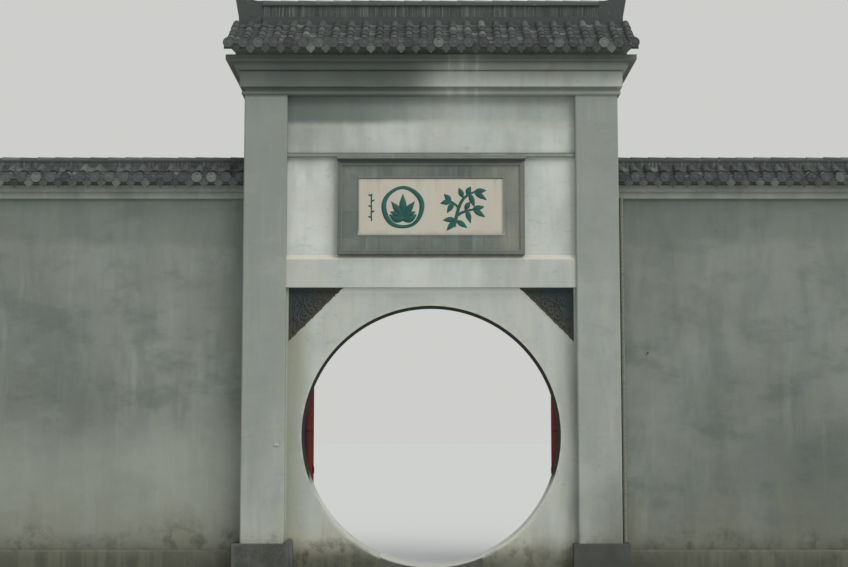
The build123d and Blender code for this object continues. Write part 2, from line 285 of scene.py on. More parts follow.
    @staticmethod
    def outward(piece: Piece) -> Piece:
        """Merge doubled points and turn every face outwards."""
        with Bench.edit(piece, lambda point: True, Part.POINTS):
            bpy.ops.mesh.remove_doubles(threshold=MERGE_DISTANCE)
            bpy.ops.mesh.normals_make_consistent(inside=False)
        return piece

    @staticmethod
    def join(pieces: Sequence[Piece], name: str) -> Piece:
        """Join several pieces into the first."""
        Bench.only(*pieces)
        if len(pieces) > 1:
            bpy.ops.object.join()
        return Bench.named(pieces[0], name)

    @staticmethod
    def soften(pieces: Sequence[Piece], name: str, width: float, segments: int = 2) -> Piece:
        """Join pieces, round their edges and shade them smooth."""
        return Bench.smooth(Bench.bevel(Bench.join(pieces, name), width, segments))

    @staticmethod
    def repeat(name: str, template: Piece, places: Iterable[Matrix], rng: random.Random) -> Piece:
        """Copy one template to many places as a single mesh, with a tone for each copy.

        Args:
            name: Name of the joined piece.
            template: The object that is modelled once. It is removed.
            places: Where each copy goes.
            rng: Draws each copy's tone, which the finish reads as the attribute "tone".

        Returns:
            The joined piece.
        """
        copies = []
        for place in places:
            copy = template.copy()
            copy.data = template.data.copy()
            copy.data.transform(place)
            tone = copy.data.attributes.new("tone", "FLOAT", "POINT")
            tone.data.foreach_set("value", [rng.random()] * len(copy.data.vertices))
            bpy.context.scene.collection.objects.link(copy)
            copies.append(copy)
        bpy.data.objects.remove(template)
        return Bench.join(copies, name)

    @staticmethod
    def strokes(name: str, lines: Sequence[Stroke], thickness: float, face_y: float, relief: float) -> Piece:
        """Make strokes that swell and taper, such as scrolls and stems, flattened on to a face.

        Args:
            name: Name of the piece.
            lines: One list for each stroke, of X, Z and the share of the thickness there.
            thickness: Radius of a stroke at its full share.
            face_y: Y of the face that they lie on.
            relief: Share of their depth that is kept.

        Returns:
            All strokes as one mesh.
        """
        curve = bpy.data.curves.new(name, "CURVE")
        curve.dimensions = "3D"
        curve.bevel_depth = thickness
        curve.bevel_resolution = 2
        curve.use_fill_caps = True
        curve.resolution_u = 3
        for line in lines:
            spline = curve.splines.new("NURBS")
            spline.points.add(len(line) - 1)
            for target, (x, z, share) in zip(spline.points, line):
                target.co = (x, face_y, z, 1)
                target.radius = share
            spline.order_u = 3
            spline.use_endpoint_u = True
        piece = bpy.data.objects.new(name, curve)
        bpy.context.scene.collection.objects.link(piece)
        Bench.only(piece)
        bpy.ops.object.convert(target="MESH")
        piece = Bench.outward(Bench.named(bpy.context.active_object, name))
        Bench.squeeze(piece, (1, relief, 1), (0, face_y, 0), lambda point: True)
        return piece


def operation(name: str, swapped: bool = False) -> Callable[..., "Signal"]:
    """Make a method of Signal that adds one Math node.

    Args:
        name: The node's operation.
        swapped: Whether the other value comes first.

    Returns:
        The method.
    """

    def method(self: "Signal", *other: Any) -> "Signal":
        """Add the node."""
        return self.tree.math(name, *other, self) if swapped else self.tree.math(name, self, *other)

    return method


class Signal:
    """A socket of a node tree that Python expressions can work with."""

    __add__ = __radd__ = operation("ADD")
    __sub__ = operation("SUBTRACT")
    __rsub__ = operation("SUBTRACT", swapped=True)
    __mul__ = __rmul__ = operation("MULTIPLY")
    __truediv__ = operation("DIVIDE")
    size = operation("ABSOLUTE")
    most = operation("MAXIMUM")
    part = operation("FRACT")
    whole = operation("FLOOR")
    root = operation("SQRT")

    def __init__(self, tree: "NodeTree", socket: bpy.types.NodeSocket) -> None:
        """Wrap a socket of a tree."""
        self.tree = tree
        self.socket = socket

    def rise(self, low: float, high: float) -> "Signal":
        """Rise smoothly from 0 to 1 between two values.

        Args:
            low: The value at 0.
            high: The value at 1, which may be the smaller one.

        Returns:
            The smooth step.
        """
        start, stop, bottom, top = (low, high, 0.0, 1.0) if low < high else (high, low, 1.0, 0.0)
        inputs = {0: self, 1: start, 2: stop, 3: bottom, 4: top}
        made = self.tree.node("MapRange", inputs, interpolation_type="SMOOTHSTEP")
        return Signal(self.tree, made.outputs[0])


class NodeTree:
    """A node tree that is filled from Python."""

    def __init__(self, tree: bpy.types.NodeTree) -> None:
        """Take a tree and empty it."""
        self.nodes = tree.nodes
        self.links = tree.links
        self.nodes.clear()

    def node(self, kind: str, inputs: dict[Any, Any] | None = None, **settings: Any) -> bpy.types.Node:
        """Add a node, give it its settings and then its inputs.

        Args:
            kind: The node's type without its prefix.
            inputs: Values or links of its sockets, by name or number.
            **settings: Attributes set first, such as an operation.

        Returns:
            The node.
        """
        made = self.nodes.new(f"ShaderNode{kind}")
        for key, value in settings.items():
            setattr(made, key, value)
        for key, value in (inputs or {}).items():
            self.plug(made.inputs[key], value)
        return made

    def plug(self, target: bpy.types.NodeSocket, value: Any) -> None:
        """Set a socket's value, or link it where the value is a signal or a socket."""
        value = value.socket if isinstance(value, Signal) else value
        if isinstance(value, bpy.types.NodeSocket):
            self.links.new(value, target)
        else:
            target.default_value = value

    def math(self, name: str, *values: Any) -> Signal:
        """Work out one operation on signals and numbers."""
        return Signal(self, self.node("Math", dict(enumerate(values)), operation=name).outputs[0])


class ShaderTree(NodeTree):
    """One material's tree: its colour so far and the nodes that the finishes share.

    In every finish the numbers of a rise are levels of its noise pattern, or metres where a place rises.
    """

    def __init__(self, name: str, ground: Colour, shift: float = 0.0) -> None:
        """Start a material.

        Args:
            name: Its name.
            ground: The colour that all others are laid on.
            shift: Offset of its noise patterns, which keeps them apart from another finish's.
        """
        self.material = bpy.data.materials.new(name)
        self.material.use_nodes = True
        super().__init__(self.material.node_tree)
        self.colour: Any = (*ground, 1)
        self.shift = shift
        self.shader = self.node("BsdfPrincipled")
        self.node("OutputMaterial", {"Surface": self.shader.outputs["BSDF"]})
        self.coordinates = self.node("TexCoord").outputs["Object"]
        split = self.node("SeparateXYZ", {"Vector": self.coordinates})
        self.x, self.y, self.z = (Signal(self, split.outputs[axis]) for axis in "XYZ")

    def noise(
        self,
        scale: float,
        detail: float,
        stretch: Point = (1, 1, 1),
        shift: float = 0,
        roughness: float = 0.55,
    ) -> Signal:
        """Give a noise pattern between about 0.25 and 0.75, on the piece's own coordinates.

        Args:
            scale: Spots a metre.
            detail: Octaves.
            stretch: Extra scale along each axis.
            shift: Offset of the pattern, beyond the material's own.
            roughness: Share of the finer octaves.

        Returns:
            The pattern.
        """
        place = {"Vector": self.coordinates, "Scale": stretch, "Location": (self.shift + shift,) * 3}
        vector = self.node("Mapping", place).outputs[0]
        inputs = {"Vector": vector, "Scale": scale, "Detail": detail, "Roughness": roughness}
        return Signal(self, self.node("TexNoise", inputs, noise_dimensions="3D").outputs[0])

    def cell_tone(self, index: Signal, row: Signal) -> Signal:
        """Give one random tone for each whole pair of numbers, such as a brick's place."""
        joined = self.node("CombineXYZ", {0: index, 1: row, 2: 0.5}).outputs[0]
        return Signal(self, self.node("TexWhiteNoise", {"Vector": joined}, noise_dimensions="3D").outputs[0])

    def tone(self) -> Signal:
        """Give each repeated copy's own tone, from 0 to 1."""
        return Signal(self, self.node("Attribute", attribute_name="tone").outputs["Fac"])

    def coat(self, factor: Any, colour: Colour) -> None:
        """Lay a colour over the one so far: not at all where factor is 0 and fully where it is 1."""
        inputs = {0: factor, 6: self.colour, 7: (*colour, 1)}
        self.colour = Signal(self, self.node("Mix", inputs, data_type="RGBA", clamp_factor=True).outputs[2])

    def bump(self, height: Signal, strength: float, distance: float) -> Signal:
        """Give a normal that a height in metres times distance bends."""
        inputs = {"Strength": strength, "Distance": distance, "Height": height}
        return Signal(self, self.node("Bump", inputs).outputs[0])

    def close(
        self, roughness: Any, normal: Signal | None = None, metallic: float = 0.0, gloss: float = 0.5
    ) -> bpy.types.Material:
        """Plug the colour and the rest of the finish into the shader.

        Args:
            roughness: A number or a signal.
            normal: Bump, if any.
            metallic: How metallic it is.
            gloss: Its specular level.

        Returns:
            The material.
        """
        wanted = {"Base Color": self.colour, "Roughness": roughness, "Metallic": metallic}
        wanted["Specular IOR Level"] = gloss
        if normal is not None:
            wanted["Normal"] = normal
        for key, value in wanted.items():
            self.plug(self.shader.inputs[key], value)
        return self.material


@dataclass(frozen=True)
class PlasterFinish:
    """Grey lime plaster with trowel marks, soft rain stains, damp and mould, and where asked painted light
    and shade.
    """

    name: str
    light: Colour = shade(187, 190, 184)
    grey: Colour = shade(163, 168, 163)
    warm: Colour = shade(176, 173, 157)
    cool: Colour = shade(150, 159, 158)
    mould: Colour = shade(72, 73, 62)
    foot: Colour = shade(98, 98, 84)
    dry: Colour = shade(168, 163, 138)
    stain: Colour = shade(136, 133, 112)
    outer_stain: float = 0.0
    damp_height: float = 0.55
    damp_reach: float = 0.3
    damp_strength: float = 1.0
    soot_top: float = 0.0
    soot_depth: float = 0.0
    soot_strength: float = 1.0
    soot_lean: float = 0.0
    soot_fade: float = 0.0
    soot_turn: tuple[float, float] = (-0.75, 0.35)
    soot_tail: float = 0.5
    soot_edge: float = 0.0
    soot: Colour = shade(88, 95, 90)
    streaks: float = 0.2
    pale_runs: float = 0.12
    smear: float = 0.0
    lime: float = 0.0
    ledge_z: float = 0.0
    ledge_x: float = 0.0
    dull_top: float = 0.0
    dull_left: float = 0.0
    strip_z: float = 0.0
    low_lean: float = 0.0
    gloss: float = 0.3
    grime_x: float = 0.0
    reveal_radius: float = 0.0
    reveal_centre: float = 0.0
    shift: float = 0.0

    def build(self) -> bpy.types.Material:
        """Make the material.

        Returns:
            The material.
        """
        t = ShaderTree(self.name, self.light, self.shift)
        run = t.noise(6.5, 5, (1, 1, 0.06), 11, 0.62)
        scuff = t.noise(13, 5, (0.5, 0.5, 1), 17, 0.7).rise(0.57, 0.72)
        t.coat(t.noise(0.6, 3, (1, 1, 0.6)).rise(0.37, 0.65) * 0.8, self.grey)
        t.coat(t.noise(2.1, 5, (1, 1, 0.55), 3, 0.6).rise(0.36, 0.7) * 0.45, self.warm)
        t.coat(t.noise(4.6, 4, (1, 1, 0.32), 5).rise(0.43, 0.68) * 0.35, self.cool)
        t.coat(run.rise(0.52, 0.75) * self.streaks, shade(112, 115, 106))
        t.coat(t.noise(8, 3, (1, 1, 0.1), 15).rise(0.56, 0.76) * self.pale_runs, shade(204, 205, 198))
        t.coat(scuff * 0.3, shade(132, 134, 126))
        self._tones(t)
        if self.soot_depth:
            self._soot(t, run)
        if self.lime:
            self._lime(t)
        if self.ledge_z:
            self._ledge(t)
        if self.grime_x:
            self._grime(t)
        self._damp(t, run)
        if self.reveal_radius:
            self._reveal(t)
        fine = t.noise(38, 4, shift=7)
        grain = t.noise(240, 2, shift=9)
        t.coat(grain.rise(0.4, 0.75) * 0.14, shade(112, 115, 108))
        trowel = t.noise(5, 3, (0.45, 0.45, 1.5), 19)
        height = trowel * 0.9 + fine * 0.3 + grain * 0.08 - scuff * 0.15
        return t.close(0.82 + fine * 0.15, t.bump(height, 0.5, 0.008), gloss=self.gloss)

    def _tones(self, t: ShaderTree) -> None:
        """Smear the wall, dull it towards the top, and paint light and shade into it: painted shade on its
        upper left, a painted light strip under the lintel, and low down painted light on the left with
        painted shade and damp on the right.

        Args:
            t: The material's tree.
        """
        if self.smear:
            wiped = t.noise(1.9, 6, (0.75, 1, 1.4), 21, 0.64)
            t.coat(wiped.rise(0.5, 0.66) * self.smear, self.cool)
            t.coat(wiped.rise(0.46, 0.32) * self.smear, self.light)
        if self.dull_top:
            t.coat(t.z.rise(2.4, 4.6) * self.dull_top, shade(116, 122, 117))
        if self.dull_left:
            # painted shade: the upper left of the wall darker
            t.coat(t.x.rise(-0.6, -1.35) * t.z.rise(4.3, 4.75) * self.dull_left, shade(106, 112, 106))
        if self.strip_z:
            # painted light: a pale strip along the top of the wall just under the lintel
            t.coat(t.z.rise(self.strip_z - 0.08, self.strip_z - 0.03) * 0.7, shade(218, 221, 213))
        if self.low_lean:
            # low down: painted light on the left; on the right painted shade, partly damp
            low = t.z.rise(1.9, 1.1) * self.low_lean
            t.coat(low * t.x.rise(-1.0, -2.2), shade(166, 169, 156))
            t.coat(low * t.x.rise(2.2, 4.4), shade(74, 80, 70))

    def _soot(self, t: ShaderTree, run: Signal) -> None:
        """Darken the strip of wall under a projecting course, with runs below it: a soot stain with a wavy
        edge together with painted shade under the course, darker towards the left, partly painted shade
        there.

        Args:
            t: The material's tree.
            run: Pattern of the rain's runs.
        """
        wave = t.noise(0.9, 5, shift=31, roughness=0.6) - 0.5
        level = (self.soot_top - t.z) / self.soot_depth + wave * 0.6
        patchy = t.noise(0.7, 2, shift=33).rise(0.3, 0.66)
        right = t.x.rise(*self.soot_turn)
        strength = (0.95 - right * (self.soot_lean + level * self.soot_fade)) * (0.85 + patchy * 0.15)
        # soot stain and painted shade under the course, darker towards the left
        t.coat(level.rise(1.14, 0.82) * strength * self.soot_strength, self.soot)
        tail = level.rise(3.4, 0.9) * run.rise(0.44, 0.68) * (1 - right * self.soot_lean)
        t.coat(tail * self.soot_tail, shade(120, 126, 121))
        t.coat(level.rise(4.5, 0.6) * self.soot_tail * 0.5, shade(120, 126, 121))
        dash = t.noise(11, 2, (1, 0, 0.02), 55).rise(0.66, 0.72) * level.rise(0.4, 0.8)
        t.coat(dash * level.rise(1.12, 1.0) * self.soot_edge * 0.8, shade(182, 185, 176))
        edge = level.rise(0.94, 1.04) * level.rise(1.26, 1.08) * patchy
        t.coat(edge * self.soot_edge, shade(178, 174, 148))

    def _lime(self, t: ShaderTree) -> None:
        """Run pale lime down the front in three soft narrow streaks, at the same places on every course.

        Args:
            t: The material's tree.
        """
        sway = (t.noise(3, 2, (0, 0, 1), 51 - self.shift) - 0.5) * 0.04
        ragged = t.noise(7, 4, (8, 0, 0.5), 53 - self.shift, 0.66).rise(0.3, 0.6)
        places = ((0.2, 0.06), (0.35, 0.08), (0.5, 0.04))
        runs = [(t.x + sway - x).size().rise(width, 0) for x, width in places]
        streak = runs[0].most(runs[1]).most(runs[2]) * ragged
        wide = (t.x - 0.36).size().rise(0.4, 0.1) * 0.35
        t.coat((streak + wide) * self.lime, shade(186, 188, 180))

    def _ledge(self, t: ShaderTree) -> None:
        """Paint a highlight on the bevel along the top edge, and painted shadow, patchy with soiling, under
        the plaque's frame.

        Args:
            t: The material's tree.
        """
        # painted highlight on the bevel
        t.coat(t.z.rise(self.ledge_z - 0.062, self.ledge_z - 0.052) * 0.6, shade(212, 207, 192))
        covered = t.x.size().rise(self.ledge_x + 0.015, self.ledge_x - 0.02)
        soil_and_shadow = t.noise(7, 5, (1, 1, 0.5), 57, 0.66).rise(0.3, 0.66)
        drop = t.z.rise(self.ledge_z - 0.16, self.ledge_z - 0.04)
        # painted shadow under the frame, patchy with soiling
        t.coat(covered * drop * (0.12 + soil_and_shadow * 0.2), shade(124, 128, 121))

    def _grime(self, t: ShaderTree) -> None:
        """Stain the wall where it runs into the pilasters and paint shade into those corners: grey painted
        shade by both, olive stains on the left, and by the right pilaster a blue-grey band that is partly
        stain and partly painted shade.

        Args:
            t: The material's tree.
        """
        near = t.x.size().rise(self.grime_x - 0.32, self.grime_x - 0.05)
        left = t.x.rise(0.0, -0.1)
        olive = t.noise(2.2, 4, (1, 1, 0.3), 35).rise(0.34, 0.62)
        # painted shade in the corners by both pilasters
        t.coat(near * 0.42, shade(138, 142, 133))
        t.coat(near * (0.3 + olive * 0.7) * left * 0.6, shade(136, 137, 112))
        # by the right pilaster: blue-grey stain and painted shade
        t.coat(t.x.rise(self.grime_x - 0.15, self.grime_x - 0.05) * olive * 0.55, shade(112, 118, 113))
        bead = t.x.rise(0.022 - self.grime_x, 0.016 - self.grime_x)
        t.coat(bead * 0.5, shade(176, 179, 170))
        t.coat(near * left * (1 - bead) * 0.12, shade(120, 121, 98))

    def _reveal(self, t: ShaderTree) -> None:
        """Paint the round reveal: near-black painted shade over its upper part and down its sides, a painted
        highlight along its foot, and a pale arris that is worn and, towards the foot, a painted highlight.

        Args:
            t: The material's tree.
        """
        drop = t.z - self.reveal_centre
        radius = (t.x * t.x + drop * drop).root()
        inside = radius.rise(self.reveal_radius + 0.006, self.reveal_radius + 0.001)
        ragged = (t.noise(6, 4, shift=39) - 0.5) * 0.24
        # painted shade in the reveal, near black
        t.coat(inside * (drop + ragged).rise(-0.56, -0.4) * 0.97, shade(17, 17, 17))
        below = drop.rise(-0.5, -0.75) * (0.55 + t.x.rise(0, 0.6) * 0.3)
        # painted highlight along the foot, brighter on the right
        t.coat(inside * below, shade(214, 216, 208))
        arris = radius.rise(self.reveal_radius + 0.045, self.reveal_radius + 0.01) * (1 - inside)
        worn = t.noise(11, 4, shift=37).rise(0.42, 0.66) * 0.4 + drop.rise(-0.7, -1.05) * 0.45
        # pale arris: wear, with a painted highlight towards the foot
        t.coat(arris * worn, shade(202, 202, 190))

    def _damp(self, t: ShaderTree, run: Signal) -> None:
        """Lay damp and mould along the foot of the wall.

        Args:
            t: The material's tree.
            run: Pattern of the rain's runs.
        """
        edge = t.noise(1.7, 6, shift=41, roughness=0.6) - 0.5
        level = (self.damp_height - t.z) / self.damp_reach + edge * 2.6
        mask = self.damp_strength - t.x.rise(0.35, 0.75) * (0.3 if self.grime_x else 0)
        t.coat(level.rise(-1.2, 0.6) * 0.45 * mask, self.dry)
        t.coat(level.rise(0.2, 1.1) * 0.55 * mask, self.stain)
        t.coat(level.rise(0.8, 1.7) * 0.7 * mask, self.foot)
        blot = t.noise(6.5, 6, shift=45, roughness=0.68).rise(0.46, 0.64)
        t.coat(blot * level.rise(0.0, 1.1) * 0.7 * mask, self.mould)
        t.coat((t.z + edge * 0.6).rise(0.4, 0.04) * 0.8 * mask, self.mould)
        t.coat(run.rise(0.48, 0.62) * level.rise(-0.9, 0.5) * 0.3 * mask, shade(118, 118, 98))
        if self.outer_stain:
            side = t.x.rise(1.62, 2.0) * (t.z + edge * 0.9).rise(1.25, 0.5)
            t.coat(side * self.outer_stain, shade(96, 99, 89))


@dataclass(frozen=True)
class BrickFinish:
    """Rubbed grey brick, laid end to end along X or up Z, with fine joints."""

    name: str
    base: Colour = shade(113, 118, 110)
    dark: Colour = shade(82, 89, 88)
    olive: Colour = shade(124, 121, 104)
    pale: Colour = shade(136, 140, 132)
    upright: bool = False
    module: float = 0.145
    joint: float = 0.003
    run_strength: float = 0.35
    lip: Point | None = None
    bead: Point | None = None
    bead_width: float = 0.014
    sun_side: float = 0.0
    shade_top: float = 0.0
    shade_depth: float = 0.038
    shade_low: float = 0.0
    shift: float = 0.0

    def build(self) -> bpy.types.Material:
        """Make the material.

        Returns:
            The material.
        """
        t = ShaderTree(self.name, self.base, self.shift)
        course = ((t.z if self.upright else t.x) + 10.0) / self.module
        number = course.whole()
        tone = t.cell_tone(number, number * 0.37)
        stain = t.noise(5, 5, roughness=0.62)
        run = t.noise(12, 3, (1, 1, 0.1), 5)
        t.coat(tone * 0.55 + t.noise(2.6, 4, shift=21).rise(0.34, 0.66) * 0.35, self.dark)
        t.coat(t.cell_tone(number * 0.61, number).rise(0.5, 0.95) * 0.55, self.olive)
        t.coat(stain.rise(0.42, 0.7) * 0.45, self.dark)
        t.coat(run.rise(0.52, 0.7) * self.run_strength, self.pale)
        t.coat(t.noise(22, 4, shift=8).rise(0.6, 0.74) * 0.3, shade(138, 136, 110))
        apart = (0.5 - (course.part() - 0.5).size()) * self.module
        line = apart.rise(self.joint, self.joint * 0.3)
        t.coat(line * 0.28, shade(66, 69, 64))
        self._frame(t)
        if self.shade_top:
            top = self.shade_top - self.shade_depth
            dark = (t.z + (run - 0.5) * self.shade_depth).rise(top, top + self.shade_depth * 0.4)
            # dark band along the top: on the frame painted shadow under the crown, on the string course a
            # dark line along its top edge
            t.coat(dark * 0.75, shade(62, 66, 63))
        if self.shade_low:
            dark = (t.z + (stain - 0.5) * 0.02).rise(self.shade_low + 0.022, self.shade_low + 0.01)
            # painted shadow in the hollow under the crown
            t.coat(dark * 0.8, shade(60, 64, 61))
        height = t.noise(60, 4) * 0.5 + stain * 0.4 + tone * 0.25 - line * 0.7
        return t.close(0.72 + stain * 0.25, t.bump(height, 0.6, 0.004))

    def _frame(self, t: ShaderTree) -> None:
        """Make the frame paler and warmer on the right and darker on the left, darken its lip with a painted
        highlight along the lip's inner edge, and paint a highlight on its bead, strongest along the foot.

        Args:
            t: The material's tree.
        """
        if self.sun_side:
            blotch = t.noise(3.4, 4, (1, 1, 0.6), 33 - self.shift, 0.6).rise(0.3, 0.7)
            # paler and warmer on the right, darker on the left
            t.coat(t.x.rise(0.62, 0.9) * (0.5 + blotch * 0.5) * self.sun_side, shade(150, 148, 134))
            t.coat(t.x.rise(-0.62, -0.9) * self.sun_side * 0.5, shade(116, 122, 112))
        if self.lip:
            outside = self._beyond(t, self.lip)
            t.coat(outside.rise(-0.002, 0.004) * 0.5, shade(80, 85, 80))
            # painted highlight along the lip's inner edge
            t.coat(outside.size().rise(0.008, 0.002) * 0.4, self.pale)
        if self.bead:
            outside = self._beyond(t, self.bead)
            below = t.z.rise(self.bead[1] + 0.05, self.bead[1])
            lit = outside.rise(self.bead_width + 0.002, self.bead_width - 0.002)
            # painted highlight on the bead, strongest along the foot
            t.coat(lit * (0.15 + below * 0.6), shade(168, 168, 156))

    @staticmethod
    def _beyond(t: ShaderTree, edge: Point) -> Signal:
        """Give how far outside a rectangle a place is, from its half-width, foot and top."""
        half_x, low, high = edge
        return (t.x.size() - half_x).most((t.z - (low + high) / 2).size() - (high - low) / 2)


@dataclass(frozen=True)
class CarvedFinish:
    """Near-black carved brick, dusty on what stands out."""

    name: str
    dark: Colour = shade(42, 52, 54)
    brown: Colour = shade(60, 57, 47)
    dust: Colour = shade(88, 88, 78)
    face_y: float = 0.0
    relief: float = 0.02
    corner_x: float = 0.0
    corner_z: float = 0.0
    span: float = 1.2

    def build(self) -> bpy.types.Material:
        """Make the material.

        Returns:
            The material.
        """
        t = ShaderTree(self.name, self.dark)
        proud = (self.face_y - t.y) / self.relief
        away = ((self.corner_x - t.x.size()) + (self.corner_z - t.z)) / self.span
        mottled = t.noise(9, 5, roughness=0.62)
        edge = (away + (mottled - 0.5) * 0.7).rise(0.2, 0.52)
        t.coat(edge, self.brown)
        t.coat(proud.rise(0.1, 1.2) * (0.03 + edge * 0.18), self.dust)
        t.coat(t.noise(34, 4, shift=4).rise(0.56, 0.7) * 0.16, self.dust)
        return t.close(0.8, t.bump(t.noise(70, 4) * 0.6 + mottled * 0.4, 0.6, 0.003))


@dataclass(frozen=True)
class StoneFinish:
    """Dressed stone with fine pits, chisel marks and damp patches."""

    name: str
    base: Colour
    dark: Colour
    pale: Colour = shade(118, 122, 116)
    pale_share: float = 0.35
    chisel: float = 0.4
    green: float = 0.3
    dark_right: float = 0.0
    wet_height: float = 0.28
    rim_radius: float = 0.0
    rim_centre: float = 0.0
    shift: float = 0.0

    def build(self) -> bpy.types.Material:
        """Make the material.

        Returns:
            The material.
        """
        t = ShaderTree(self.name, self.base, self.shift)
        broad = t.noise(2.4, 4).rise(0.35, 0.68)
        speck = t.noise(60, 5, shift=6, roughness=0.7)
        t.coat(broad, self.dark)
        t.coat(speck.rise(0.5, 0.72) * self.pale_share, self.pale)
        t.coat(t.noise(9, 4, (1, 1, 0.12), 9).rise(0.5, 0.7) * 0.3, self.pale)
        t.coat(t.noise(5, 5, shift=12, roughness=0.65).rise(0.5, 0.72) * self.green, shade(78, 84, 60))
        t.coat(t.z.rise(self.wet_height, 0.0) * 0.45 + t.x.rise(-0.5, 0.5) * self.dark_right, self.dark)
        if self.rim_radius:
            drop = t.z - self.rim_centre
            # painted highlight: a pale rim round the opening, on the sill's top and arris
            rim = (t.x * t.x + drop * drop).root().rise(self.rim_radius + 0.028, self.rim_radius + 0.008)
            t.coat(rim * 0.75, shade(208, 209, 199))
        tooth = t.noise(26, 2, (1, 1, 0.12), 15)
        height = t.noise(120, 3, shift=2) * 0.2 + speck * 0.4 + tooth * self.chisel
        return t.close(0.62 + broad * 0.25, t.bump(height, 0.6, 0.005))


@dataclass(frozen=True)
class BoardFinish:
    """Pale pinkish stone board, faintly stained, with a painted shadow along its top edge."""

    low: float
    high: float
    name: str = "board_stone"
    base: Colour = shade(186, 181, 166)
    pink: Colour = shade(184, 173, 161)
    stain: Colour = shade(156, 150, 134)

    def build(self) -> bpy.types.Material:
        """Make the material.

        Returns:
            The material.
        """
        t = ShaderTree(self.name, self.base)
        broad = t.noise(2.0, 4).rise(0.36, 0.66)
        t.coat(broad * 0.7, self.pink)
        run = t.noise(11, 4, (1, 1, 0.1), 3).rise(0.5, 0.7)
        t.coat(run * (0.12 + t.z.rise(self.high - 0.3, self.high) * 0.35), self.stain)
        t.coat(t.z.rise(self.low + 0.07, self.low) * t.noise(8, 4).rise(0.35, 0.6) * 0.4, self.stain)
        # painted shadow along the top edge, under the frame's bead
        t.coat(t.z.rise(self.high - 0.016, self.high - 0.008) * 0.75, shade(62, 64, 56))
        speck = t.noise(90, 3, shift=6)
        t.coat(speck.rise(0.6, 0.75) * 0.25, self.stain)
        return t.close(0.6, t.bump(speck * 0.5 + broad * 0.3, 0.4, 0.002))


@dataclass(frozen=True)
class PaintFinish:
    """Old paint: worn at the high spots, with the ground showing through."""

    name: str
    base: Colour
    faded: Colour
    ground: Colour
    wear: float = 0.35
    grain: Point = (1, 1, 1)
    roughness: float = 0.55
    gloss: float = 0.3
    bump_height: float = 0.002
    shade_from: float = 0.0
    shade_to: float = 0.0
    shade_x: float = 0.0
    shade_reach: float = 0.0

    def build(self) -> bpy.types.Material:
        """Make the material.

        Returns:
            The material.
        """
        t = ShaderTree(self.name, self.base)
        broad = t.noise(3.2, 4).rise(0.35, 0.68)
        along = t.noise(42, 4, self.grain, 5)
        bare = t.noise(26, 5, self.grain, 9, 0.68).rise(0.62, 0.68) * self.wear
        t.coat(broad * 0.7, self.faded)
        t.coat(along.rise(0.52, 0.72) * 0.35, self.faded)
        t.coat(bare, self.ground)
        if self.shade_to:
            # painted shade: the leaf darker towards its hinge, most on its face towards the opening
            hinge_shade = (t.y - t.x.rise(-0.5, 0.5) * 0.2).rise(self.shade_to, self.shade_from)
            inner = (t.x - self.shade_x).size().rise(self.shade_reach, self.shade_reach - 0.004)
            t.coat(hinge_shade * (0.36 + inner * 0.47), shade(34, 24, 22))
        normal = t.bump(along * 0.6 - bare * 0.6, 0.6, self.bump_height)
        return t.close(self.roughness + broad * 0.2, normal, gloss=self.gloss)


@dataclass(frozen=True)
class TileFinish:
    """Grey clay tile, each one a tone of its own, with lichen and soot."""

    name: str
    base: Colour = shade(84, 88, 86)
    dark: Colour = shade(52, 55, 55)
    pale: Colour = shade(116, 120, 116)
    lichen: Colour = shade(126, 130, 104)

    def build(self) -> bpy.types.Material:
        """Make the material.

        Returns:
            The material.
        """
        t = ShaderTree(self.name, self.dark)
        tone = t.tone()
        t.coat(tone, self.base)
        t.coat(t.noise(7, 4).rise(0.45, 0.7) * 0.5, self.dark)
        t.coat(tone.rise(0.8, 1.0) * 0.6, self.pale)
        spot = t.noise(30, 5, shift=4, roughness=0.66).rise(0.58, 0.7)
        t.coat(spot * 0.45, self.lichen)
        fine = t.noise(110, 3, shift=8)
        t.coat(fine.rise(0.5, 0.75) * 0.2, self.pale)
        return t.close(0.75 + fine * 0.15, t.bump(fine * 0.5 + spot * 0.5, 0.5, 0.002))


@dataclass(frozen=True)
class IronFinish:
    """Dull dark iron with rust freckles."""

    name: str
    base: Colour = shade(58, 58, 56)
    rust: Colour = shade(94, 64, 44)

    def build(self) -> bpy.types.Material:
        """Make the material.

        Returns:
            The material.
        """
        t = ShaderTree(self.name, self.base)
        spot = t.noise(45, 5, roughness=0.68)
        t.coat(spot.rise(0.5, 0.66) * 0.5, self.rust)
        return t.close(0.45 + spot * 0.4, t.bump(spot, 0.5, 0.0015), metallic=0.35)


@dataclass
class Gate:
    """Places that several sub-assemblies share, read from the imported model."""

    opening_radius: float = 1.4
    opening_centre: float = 1.49
    wall_front: float = field(init=False)
    inner: float = field(init=False)
    lintel_under: float = field(init=False)
    finishes: dict[str, bpy.types.Material] = field(default_factory=dict)

    def __post_init__(self) -> None:
        """Read the shared places."""
        low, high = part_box("right_upper_moon_wall")
        self.wall_front = low.y
        self.inner = high.x
        self.lintel_under = high.z

    def keep(
        self, piece: Piece, finish: str, slot: str, body: str = GATE, stands_for: Sequence[str] = ()
    ) -> None:
        """Give a finished piece its finish, its body and its material slot.

        Args:
            piece: The piece.
            finish: Key of its finish.
            slot: The record's material slot; not used.
            body: The body that it moves with.
            stands_for: CAD nodes that it replaces.
        """
        piece.data.materials.clear()
        piece.data.materials.append(self.finishes[finish])
        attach(piece, body)
        if stands_for:
            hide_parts(*stands_for)
        LOG.info("%s: %d faces on %s", piece.name, len(piece.data.polygons), body)


